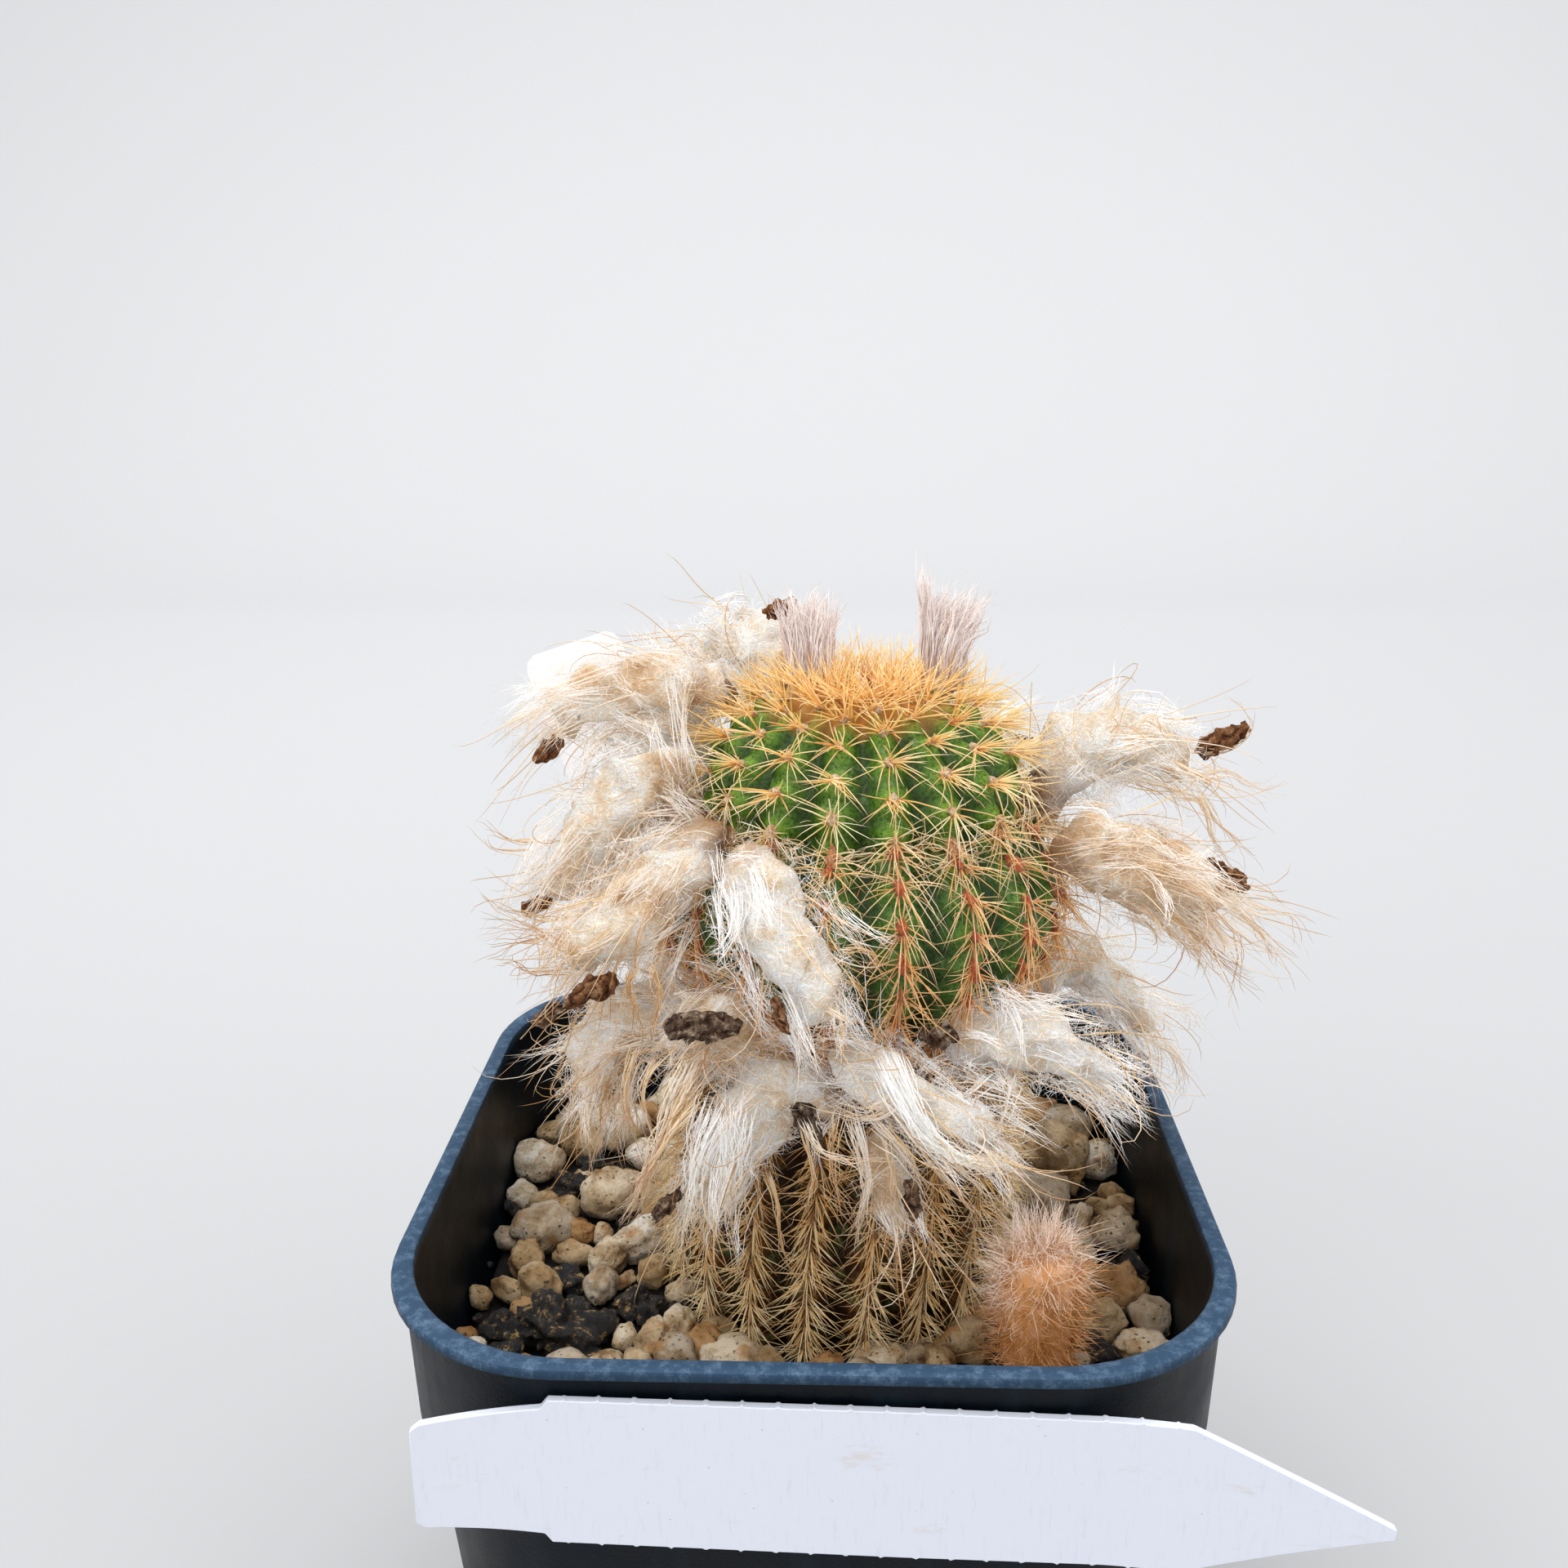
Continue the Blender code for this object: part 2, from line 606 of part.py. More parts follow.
def cut_holes(solids, into):
    """Plain holes in the mix and the dressing for the stem's foot, the offset and the stake label."""
    rows = [profile_at(SOIL_LENGTH * share)[:2] for share in (0.0, 0.3, 0.6)]
    foot = [(radius + 2 * GAP, z) for radius, z in rows]
    foot[0] = (foot[0][0], foot[0][1] - GAP)
    crest = 14.6 * MM + RIB_RELIEF + TUBERCLE_RELIEF + GAP
    foot += [(14.2 * MM + 2 * GAP, MIX_TOP), (crest, MIX_TOP + 0.5 * GAP), (crest, MIX_TOP + 9 * MM)]
    for solid in solids:
        holes = collection("Holes")
        turned("stem hole", foot, holes)
        bm = bmesh.new()
        wide = PUP_RADIUS * MM + GAP
        low, high = PUP_FOOT * MM + POT_HEIGHT - GAP, POT_HEIGHT
        bmesh.ops.create_cone(bm, cap_ends=True, segments=12, radius1=wide, radius2=wide, depth=high - low)
        bmesh.ops.translate(bm, verts=bm.verts, vec=(PUP_CENTRE[0] * MM, PUP_CENTRE[1] * MM, (high + low) / 2))
        add_object("offset hole", bm, holes)
        stake_label("stake slot", holes, GAP)
        boolean(solid, holes, "DIFFERENCE")
        bpy.data.collections.remove(holes)
        largest_body(solid)


# Labels

def label_rows(widths, grown=0.0):
    """Half widths along a label, from its head to its point, each grown by a clearance."""
    rows = [(x, half + grown) for x, half in widths]
    rows[0] = (rows[0][0] - grown, rows[0][1])
    rows[-1] = (rows[-1][0] + grown, rows[-1][1])
    return rows


def label(name, rows, thick, bow, placed, into, look=None):
    """A label cut from sheet: cross-sections along +X, each bowed off the XY plane by its own amount."""
    bm = bmesh.new()
    rings = []
    for x, half in rows:
        z = bow(x)
        rings.append([
            Vector((x, -half, z)), Vector((x, half, z)),
            Vector((x, half, z + thick)), Vector((x, -half, z + thick)),
        ])
    loft(bm, rings)
    bmesh.ops.transform(bm, matrix=placed, verts=bm.verts)
    return add_object(name, bm, into, look)


def front_bow(x):
    """How far the front label's ends stand off the wall, where the pot's corners turn away behind it."""
    left = max(0.0, FRONT_FLAT_FROM - x) / (FRONT_FLAT_FROM + 1e-9)
    right = max(0.0, x - FRONT_FLAT_TO) / (LABEL_LENGTH - FRONT_FLAT_TO)
    return HEAD_BOW * left ** 2 + POINT_BOW * right ** 1.5


def front_label(into, look):
    """The label stuck on the front of the pot's upper band, head to the left and point to the right."""
    x, z = FRONT_LABEL_HEAD
    draft = math.atan2(BAND_HALF - STEP_TOP_HALF, POT_HEIGHT - RIM_BAND - STEP_TOP)
    wall_at = BAND_HALF + z * MM * math.tan(draft)
    placed = (
        Matrix.Translation((x * MM, -wall_at - GAP, POT_HEIGHT + z * MM))
        @ Matrix.Rotation(math.pi / 2 + draft, 4, "X")
        @ Matrix.Rotation(FRONT_LABEL_TURN, 4, "Z")
    )
    return label("front_label", label_rows(FRONT_WIDTHS), LABEL_THICK, front_bow, placed, into, look)


def stake_label(name, into, grown=0.0, look=None):
    """The label that stands in the mix behind the plant, point down and leaning to the left."""
    placed = (
        Matrix.Translation(point(*STAKE_TOP))
        @ Matrix.Rotation(math.pi / 2, 4, "X")
        @ Matrix.Rotation(-math.pi / 2 + STAKE_LEAN, 4, "Z")
        @ Matrix.Translation((0, 0, -grown - LABEL_THICK / 2))
    )
    return label(name, label_rows(STAKE_WIDTHS, grown), LABEL_THICK + 2 * grown, lambda x: 0.0, placed, into, look)


# Needles and tufts

def ring_round(middle, direction, radius, sides, turn=0.0):
    """Points on a circle across a direction."""
    side = direction.orthogonal().normalized()
    up = direction.normalized().cross(side)
    return [
        middle + (side * math.cos(turn + t * math.tau / sides) + up * math.sin(turn + t * math.tau / sides)) * radius
        for t in range(sides)
    ]


def needle(path, radius, into):
    """A three-sided needle from a thick root to a sharp tip, as its own object."""
    bm = bmesh.new()
    rings = []
    for index, place in enumerate(path[:-1]):
        direction = (path[index + 1] - path[max(index - 1, 0)]).normalized()
        rings.append(ring_round(place, direction, radius * (1 - 0.55 * index / (len(path) - 1)), 3))
    loft(bm, rings, path[-1])
    return add_object("needle", bm, into)


class Room:
    """What is already in place: solids as trees, and needles as points, so that new needles stay clear."""

    def __init__(self):
        self.trees = {}
        self.points = {}

    def add(self, name, obj):
        self.trees[name] = tree_of(obj)

    def free(self, path, owner, skip=(), distance=CLEAR):
        """Whether a needle's path is clear of everything but its owner, past its own root."""
        samples = []
        for a, b in zip(path, path[1:]):
            steps = max(2, int((b - a).length / (0.6 * MM)))
            samples += [a.lerp(b, t / steps) for t in range(steps + 1)]
        for where in samples:
            for name, tree in self.trees.items():
                if name == owner or name in skip:
                    continue
                if not is_clear(tree, where, distance):
                    return None
            for points in self.points.values():
                if any((where - other).length < distance + 0.35 * MM for other in points):
                    return None
        return samples

    def keep(self, owner, samples):
        self.points.setdefault(owner, []).extend(samples)


def tuft_path(name, angle, height, mids):
    """A tuft's middle line: straight out of its areole, then through its own points."""
    seat_angle, run = nearest_areole(angle, height)
    seat, normal = on_stem(run, seat_angle, RIB_RELIEF + TUBERCLE_RELIEF + SEAT_GAP)
    return [seat, seat + normal * 2.2 * MM, *(point(*m) for m in mids)]


def tuft_radii(path, thickest, room, spheres, name, samples=25):
    """Radius along the middle line: a thin neck, a full belly and a drawn-out tip, drawn in near its neighbours."""
    radii = []
    for index, place in enumerate(even_line(path, samples)):
        share = index / (samples - 1)
        belly = math.sin(math.pi * min(1.0, share ** 0.85)) ** 0.75
        wanted = max(thickest * MM * belly, NECK_RADIUS if share < 0.5 else TIP_RADIUS)
        allowed = wanted
        for other, tree in room.trees.items():
            if share > 0.2 or other != "stem":
                allowed = min(allowed, tree.find_nearest(place)[3] - CLEAR)
        for owner, middle, radius in spheres:
            if owner != name:
                allowed = min(allowed, (place - middle).length - radius - 0.7 * CLEAR)
        radii.append((place, allowed, wanted))
    return radii


def make_core(name, path, thickest, room, spheres, into, look, ring_count=CORE_RINGS):
    """A tuft's woolly core: a lumpy body swept along its middle line."""
    rows = tuft_radii(path, thickest, room, spheres, name)
    shift = Vector((len(name), thickest, path[-1].length * 100)) * 3.7
    rings = []
    for ring in range(ring_count + 1):
        share = ring / ring_count
        index = round(share * (len(rows) - 1))
        near = rows[max(index - 2, 0):index + 3]
        radius = max(min(r for _, r, _ in near[1:-1] or near), 0.3 * MM)
        place = rows[index][0]
        after, before = rows[min(index + 1, len(rows) - 1)][0], rows[max(index - 1, 0)][0]
        circle = ring_round(place, after - before, radius, CORE_SIDES)
        if 0 < ring < ring_count:
            circle = [
                place + (p - place) * (0.93 + 0.14 * abs(noise.noise(p * 260 + shift))) for p in circle
            ]
        rings.append(circle)
    bm = bmesh.new()
    loft(bm, rings)
    for place, allowed, _ in rows:
        spheres.append((name, place, max(allowed, 0.3 * MM)))
    return add_object(name, bm, into, look), rows


def flower_root(core, ends):
    """Where a dried flower grows from its fruit: just under the skin that is nearest to its inner end."""
    a = point(*ends[0])
    skin, _, _, away = tree_of(core).find_nearest(a)
    return skin + (skin - a).normalized() * FLOWER_SUNK if away > FLOWER_SUNK else a


def flower_body(name, a, b, radius, grown, into, look=None):
    """The dried, crumpled flower that stays on a fruit: a furrowed rod with a blunt, wider end."""
    direction = (b - a).normalized()
    a, b = a - direction * grown, b + direction * grown
    profile = ((0.0, 0.6), (0.25, 0.95), (0.8, 1.0), (1.0, 0.6))
    rings = []
    for index, (share, width) in enumerate(profile):
        circle = ring_round(a.lerp(b, share), direction, radius * MM * width + grown, 6, turn=0.25 * index)
        if not grown:
            middle = a.lerp(b, share)
            circle = [middle + (p - middle) * (1.0 if i % 2 else 0.8) for i, p in enumerate(circle)]
        rings.append(circle)
    bm = bmesh.new()
    loft(bm, rings)
    return add_object(name, bm, into, look)


def add_bristles(obj, rows, room, seed, count, length, upright=0.0):
    """Fuses curved bristles to a tuft, all round it and leaning towards its tip, where there is room."""
    draw = random.Random(seed)
    needles = collection("Needles")
    own = tree_of(obj)
    made, tried = 0, 0
    while made < count and tried < count * 9:
        turn = tried * 2.39996
        share = 0.3 + 0.66 * ((tried * 0.61803) % 1.0)
        tried += 1
        index = round(share * (len(rows) - 2))
        place, along = rows[index][0], (rows[index + 1][0] - rows[max(index - 1, 0)][0]).normalized()
        side = along.orthogonal().normalized()
        outward = side * math.cos(turn) + along.cross(side) * math.sin(turn)
        reach = length * draw.uniform(0.7, 1.15)
        lean_out = draw.uniform(0.45, 0.8)
        direction = (along * 0.8 + outward * lean_out + Vector((0, 0, upright))).normalized()
        skin = own.ray_cast(place + direction * 25 * MM, -direction, 25 * MM)[0]
        if skin is None:
            continue
        root = skin - direction * 0.7 * MM
        if not is_clear(own, root, 1.3 * BRISTLE_RADIUS):
            continue
        bend = (direction + outward * draw.uniform(-0.5, 0.1) + Vector((0, 0, draw.uniform(-0.35, 0.1)))).normalized()
        path = [root, skin + direction * reach * 0.5, skin + direction * reach * 0.5 + bend * reach * 0.5]
        samples = room.free([skin, *path[1:]], obj.name)
        if samples is None or not own_clear(own, path):
            continue
        room.keep(obj.name, samples)
        needle(path, BRISTLE_RADIUS, needles)
        made += 1
    if made:
        boolean(obj, needles, "UNION", "MANIFOLD")
    bpy.data.collections.remove(needles)
    largest_body(obj)
    return made


def own_clear(tree, path):
    """Whether a bristle, past its root, doesn't dive back into its own tuft."""
    return all(is_clear(tree, path[1].lerp(path[2], t), 0.35 * MM) for t in (0.0, 0.5, 1.0))


def make_fruits(into, room):
    """All woolly fruits with their dried flowers, placed and shaped one after another so that none touch."""
    wool = material("fruit wool", (0.75, 0.66, 0.55), 0.95)
    brown = material("dried flower", (0.16, 0.07, 0.035), 0.85)
    spheres = []
    for name, (*_, flower) in FRUITS.items():
        if flower:
            *ends, radius = flower
            a, b = point(*ends[0]), point(*ends[1])
            spheres += [(name, a.lerp(b, t), radius * MM) for t in (0, 0.33, 0.66, 1)]
    cores, flowers = {}, {}
    for name, (angle, height, mids, thickest, flower) in FRUITS.items():
        path = tuft_path(name, angle, height, mids)
        cores[name] = make_core(name, path, thickest, room, spheres, into, wool)
        if flower:
            *ends, radius = flower
            core = cores[name][0]
            flowers[name] = (flower_root(core, ends), point(*ends[1]), radius)
            cut_flower_seat(core, *flowers[name])
    for name, (angle, height, mids, thickest) in YOUNG_FRUITS.items():
        path = tuft_path(name, angle, height, mids)
        cores[name] = make_core(name, path, thickest, room, spheres, into, wool, 5)
    for name, (obj, _) in cores.items():
        room.add(name, obj)
    for name, (root, end, radius) in flowers.items():
        dried = flower_body(name.replace("fruit", "dried_flower"), root, end, radius, 0.0, into, brown)
        room.add(dried.name, dried)
    for index, (name, (obj, rows)) in enumerate(cores.items()):
        young = name in YOUNG_FRUITS
        made = add_bristles(
            obj, rows, room, BRISTLE_SEED + index, BRISTLES + (1 if young else 0), BRISTLE_LENGTH * (0.6 if young else 1.0),
            0.6 if young else 0.0,
        )
        smooth(obj, 50)
    return cores


def cut_flower_seat(core, root, end, radius):
    """The seat of a dried flower in its tuft of wool."""
    cutters = collection("Seat")
    flower_body("seat", root, end, radius, FLOWER_CLEAR, cutters)
    boolean(core, cutters, "DIFFERENCE", "MANIFOLD")
    bpy.data.collections.remove(cutters)
    largest_body(core)


# Offset

def make_pup(into, room):
    """The small offset beside the stem: a bristly column with a brush of spines at its top."""
    look = material("offset bristles", (0.55, 0.28, 0.12), 0.9)
    x, y = PUP_CENTRE
    profile = ((0.0, 0.55), (0.3, 0.85), (0.45, 0.95), (0.7, 1.0), (0.9, 0.8), (1.0, 0.4))
    rings = []
    for share, width in profile:
        z = PUP_FOOT + (PUP_TOP - PUP_FOOT) * share
        rings.append(ring_round(point(x, y, z), Vector((0, 0, 1)), (PUP_RADIUS - 0.35) * width * MM, 12))
    bm = bmesh.new()
    loft(bm, rings)
    pup = add_object("offset", bm, into, look)
    draw = random.Random(31)
    needles = collection("Needles")
    for index in range(PUP_SPINES * 3):
        if len(needles.objects) >= PUP_SPINES:
            break
        share = 0.42 + 0.58 * ((index * 0.61803) % 1.0)
        angle = index * 2.39996
        z = PUP_FOOT + (PUP_TOP - PUP_FOOT) * share
        width = next(b + (a - b) * (t1 - share) / (t1 - t0)
                     for (t0, a), (t1, b) in zip(profile, profile[1:]) if share <= t1)
        across = Vector((math.cos(angle), math.sin(angle), 0))
        skin = point(x, y, z) + across * (PUP_RADIUS - 0.35) * width * MM
        direction = (across + Vector((0, 0, 0.3 + 2.2 * max(0.0, share - 0.7) / 0.3))).normalized()
        reach = PUP_SPINE_LENGTH * draw.uniform(0.6, 1.0)
        path = [skin - direction * 0.6 * MM, skin + direction * reach]
        samples = room.free(path, "offset")
        if samples is None:
            continue
        room.keep("offset", samples)
        needle(path, SPINE_ROOT, needles)
    boolean(pup, needles, "UNION", "MANIFOLD")
    bpy.data.collections.remove(needles)
    largest_body(pup)
    return pup


# Spines

def spine_directions(run, angle, draw):
    """The directions and lengths of an areole's spines: spread to the sides and down, upright at the crown."""
    _, normal = on_stem(run, angle)
    level = Vector((-math.sin(angle), math.cos(angle), 0))
    down = level.cross(normal)
    if down.z > 0:
        down = -down
    crown = max(0.0, 1 - (PROFILE_LENGTH - run) / (11 * MM))
    if crown:
        up = (normal + Vector((0, 0, 0.9 * crown)) + level * draw.uniform(-0.35, 0.35)).normalized()
        yield up, CROWN_SPINE_LENGTH * draw.uniform(0.75, 1.0)
        return
    side = draw.choice((-1, 1))
    fan = draw.uniform(0.1, 1.0)
    yield (normal * 0.55 + level * side * fan + down * (0.75 - 0.5 * fan)).normalized(), SPINE_LENGTH


def add_spines(stem, room):
    """Fuses one long spine to every areole that nothing covers."""
    draw = random.Random(SPINE_SEED)
    needles = collection("Needles")
    for rib, row, run in areoles():
        angle = rib_angle(rib)
        from_tip = PROFILE_LENGTH - run
        if from_tip < 2.2 * MM or (rib % 2 if from_tip < 8 * MM else (row + rib) % 3):
            continue
        fade = min(1.0, max(0.0, (PROFILE_LENGTH - run) / (6 * MM)))
        skin, _ = on_stem(run, angle, (RIB_RELIEF + TUBERCLE_RELIEF) * fade)
        for direction, reach in spine_directions(run, angle, draw):
            for share in (1.0, 0.6):
                path = [skin - direction * 1.1 * MM, skin + direction * reach * share]
                samples = room.free([skin, path[1]], "stem")
                if samples is not None:
                    needle(path, SPINE_ROOT, needles)
                    break
    boolean(stem, needles, "UNION", "MANIFOLD")
    bpy.data.collections.remove(needles)
    largest_body(stem)


def main():
    for obj in list(bpy.data.objects):
        bpy.data.objects.remove(obj)
    parts = collection("Potted frailea")
    white = material("white label plastic", (0.82, 0.84, 0.9), 0.35)

    pot = make_pot(parts)
    mix = make_mix(parts)
    pumice = make_pumice(parts)
    stem, _ = make_stem(parts)
    cut_holes((mix, pumice), parts)
    smooth(pumice, 60)
    front = front_label(parts, white)
    stake = stake_label("stake_label", parts, 0.0, white)

    room = Room()
    for name, obj in (("pot", pot), ("growing_mix", mix), ("pumice", pumice), ("stem", stem),
                      ("front_label", front), ("stake_label", stake)):
        room.add(name, obj)
    pup = make_pup(parts, room)
    room.add("offset", pup)
    make_fruits(parts, room)
    add_spines(stem, room)
    smooth(stem, 30)


main()
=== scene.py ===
"""Looks of the potted frailea: its skin, spines, woolly fruits, stones, moulded pot and blank labels.

Metres, +Z up, origin at the middle of the pot's underside. Layout values are in millimetres from the
middle of the pot's rim, as in the part's source, and every fibre is a closed, tapered tube.
"""

import bisect
import math
import random

import bmesh
import bpy
from mathutils import Matrix, Vector, noise


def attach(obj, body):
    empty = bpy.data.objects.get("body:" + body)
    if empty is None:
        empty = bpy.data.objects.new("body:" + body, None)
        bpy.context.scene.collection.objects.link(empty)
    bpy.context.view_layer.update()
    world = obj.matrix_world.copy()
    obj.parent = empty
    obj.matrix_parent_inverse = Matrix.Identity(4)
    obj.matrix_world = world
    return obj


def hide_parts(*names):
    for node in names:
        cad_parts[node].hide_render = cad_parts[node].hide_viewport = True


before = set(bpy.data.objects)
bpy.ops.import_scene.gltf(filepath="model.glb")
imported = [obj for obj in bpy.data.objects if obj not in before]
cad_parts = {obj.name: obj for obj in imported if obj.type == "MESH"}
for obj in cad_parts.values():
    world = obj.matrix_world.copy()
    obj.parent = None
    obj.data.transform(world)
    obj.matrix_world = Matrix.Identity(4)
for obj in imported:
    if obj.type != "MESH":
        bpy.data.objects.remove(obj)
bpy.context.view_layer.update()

MM = 0.001
# Blender's vector noise differs from run to run unless it is given a seed
NOISE_SEED = 84

# Camera, as fitted to the pot's rim in a square picture 1920 pixels wide
FOCAL_PIXELS = 1850
PICTURE_PIXELS = 1920
CAMERA_PLACE = (2.8, -138.2, 79.7)
CAMERA_YAW = math.radians(2.322)
CAMERA_ELEVATION = math.radians(16.981)
CAMERA_ROLL = math.radians(-0.542)

# Pot
POT_HEIGHT = 70.0 * MM
RIM_HALF = 37.5 * MM
CORNER_SHARE = 0.4537
WALL = 0.9 * MM
FLOOR = 1.3 * MM
RIM_BAND = 1.1 * MM
STEP_TOP = 55.0 * MM
STEP_LOW = 51.5 * MM
BAND_HALF = 36.6 * MM
STEP_TOP_HALF = 36.2 * MM
STEP_LOW_HALF = 35.2 * MM
FOOT_HALF = 31.0 * MM
FOOT_EDGE = 0.4 * MM
DRAIN_RADIUS = 3.5 * MM
DRAIN_OFFSET = 19.0 * MM

# Growing mix and stones
MIX_TOP = 53.0 * MM
MIX_GAP = 0.3 * MM
GRAIN_SEED = 3
STONE_SEED = 21
TONES = {"white": 0.0, "cream": 0.27, "grey": 0.5, "tan": 0.74, "orange": 1.0}
# Heights that the placed stones, the stones that fill the gaps, and the grit rest at
STONE_BED = 54.4 * MM
FILL_BED = 54.2 * MM
GRIT_BED = 54.3 * MM
# Loose pieces are tried this far from the middle, in millimetres
SCATTER = 35
GRAINS = 420
# Radii of the stones that fill the gaps, largest first, and how many places are tried for each
FILL_STONES = ((3.2 * MM, 300), (2.4 * MM, 700), (1.7 * MM, 900))
# Stones and lumps over these radii get a finer mesh
LARGE_STONE = 1.9 * MM
LARGE_LUMP = 1.6 * MM
STEM_CLEARANCE = 15.6 * MM
# The stones that show beside the plant: x, y and radius in millimetres, and colour
SEEN_STONES = (
    (-22.4, 9.4, 3.5, "cream"), (-27.1, 14.6, 1.4, "cream"), (-30.6, 9.2, 1.6, "tan"),
    (-29.6, 3.2, 2.9, "grey"), (-25.8, 3.4, 2.0, "orange"), (-28.2, 7.6, 1.6, "tan"),
    (-23.2, 3.3, 1.4, "cream"), (-30.2, -2.1, 2.3, "tan"), (-25.6, -0.5, 1.8, "tan"),
    (-31.3, -6.8, 1.6, "tan"), (-28.4, -6.6, 2.3, "tan"), (-21.9, -1.2, 2.1, "cream"),
    (-21.7, -6.2, 2.2, "grey"), (-19.6, -4.4, 1.0, "cream"), (-18.3, -13.7, 1.3, "cream"),
    (-18.3, 1.5, 2.8, "white"), (-16.6, -3.5, 1.9, "tan"), (-16.6, -17.6, 1.3, "cream"),
    (-15.3, -14.8, 2.0, "cream"), (-13.3, -12.1, 2.0, "cream"), (-12.9, -16.4, 1.9, "grey"),
    (-9.9, -15.7, 2.1, "orange"), (-19.6, -18.4, 1.6, "cream"), (28.2, 17.5, 4.1, "tan"),
    (32.0, 18.6, 2.3, "white"), (24.3, 7.6, 4.0, "grey"), (28.8, 7.2, 1.9, "cream"),
    (31.0, 9.6, 1.6, "tan"), (33.2, 12.4, 1.6, "tan"), (32.2, 4.1, 2.8, "cream"),
    (28.0, 0.9, 1.6, "white"), (29.0, 3.9, 1.4, "grey"), (30.6, -5.4, 2.5, "orange"),
    (28.2, -11.0, 2.2, "tan"), (31.4, -14.5, 2.0, "cream"), (14.6, -14.4, 2.3, "tan"),
    (17.2, -9.6, 1.6, "orange"), (6.5, -17.3, 2.0, "cream"), (12.1, -18.0, 1.9, "tan"),
    (10.1, -16.0, 1.6, "grey"), (-7.6, -17.4, 2.4, "cream"), (20.4, 7.1, 2.1, "cream"),
    (24.9, -16.9, 1.6, "grey"), (-4.2, -18.2, 1.8, "tan"), (1.4, -18.4, 2.1, "orange"),
)
# Lumps of dark lava: x, y and radius in millimetres
LAVA = (
    (-25.4, -13.6, 3.6), (-21.0, -12.2, 1.5), (-25.5, -4.2, 1.5), (-18.0, -8.2, 1.7), (-16.6, -9.8, 1.3),
    (-31.0, -12.6, 1.5), (-25.7, 16.4, 1.7), (-28.0, 12.0, 1.8), (27.0, -15.5, 1.9), (23.6, -11.6, 1.5),
    (-22.4, -17.6, 1.6), (33.0, -1.2, 1.6), (-29.4, -17.4, 1.7), (30.2, -18.6, 1.4), (16.4, 18.6, 2.0),
)

# Stem: radius at each height, in millimetres, from the root to the sunken tip
STEM_PROFILE = (
    (-28.0, 7.5), (-21.0, 12.4), (-16.5, 14.0), (-8.0, 15.0), (0.0, 15.1), (7.5, 14.3), (12.0, 12.8),
    (15.0, 11.4), (18.0, 12.9), (22.5, 16.4), (27.0, 17.7), (31.0, 17.1), (33.8, 15.2), (35.3, 13.9),
    (37.6, 14.2), (40.6, 13.2), (43.2, 10.8), (45.0, 7.2), (45.5, 3.6), (45.0, 0.0),
)
STEM_FOOT_X = 2.0 * MM
STEM_HEAD_X = 4.5 * MM
LEAN_LOW = -16.0 * MM
LEAN_HIGH = 22.0 * MM
RIBS = 18
AREOLE_PITCH = 2.8 * MM
RIB_RELIEF = 0.85 * MM
TUBERCLE_RELIEF = 0.75 * MM
SKIN_COLUMNS = 162
SKIN_ROWS = 160
# The angle of the rib that faces the camera
FRONT_RIB = math.radians(270 + 10.3)
SPINE_SEED = 5
# How far from the tip the crown's spines grow, and the last stretch, without felt, where the ribs fade out
CROWN_REACH = 16.5 * MM
BARE_TIP = 6 * MM
# Ages from which an areole has the spines of the lower head, and those of the old stem
LOWER_HEAD = 0.31
OLD_STEM = 0.62
# Heights of the stem's waist and of the fold under its head, and the scraps of old wool tried in them
WAIST_HEIGHT = 85 * MM
FOLD_HEIGHT = 105 * MM
SCRAPS = 1200
# The short spines over the growing point, and the radius in millimetres that they fill
HEART_SPINES = 100
HEART_RADIUS = 5.5
# A felt pad's middle line as (out, up) in shares of its size, and its radius at each point
PAD_SHAPE = ((-0.3, -1.0), (0.15, -0.6), (0.3, 0.0), (0.15, 0.6), (-0.3, 1.0))
PAD_RADII = (0.0, 0.7, 0.95, 0.7, 0.0)

# Radii of the fibres at their thickest, and of a felt pad
WOOL = 0.055 * MM
BRISTLE = 0.085 * MM
SPINE = 0.11 * MM
FELT_RADIUS = 0.48 * MM
# How strongly hair and spines glow with their own colour: a painted glow that stands in for the light they
# hold
WOOL_PAINTED_GLOW = 0.1
SPINE_PAINTED_GLOW = 0.08
TUFT_HAIRS = 12
NECK_STRINGS = 22
BRISTLE_LENGTH = 10.5 * MM
WOOL_SEED = 40
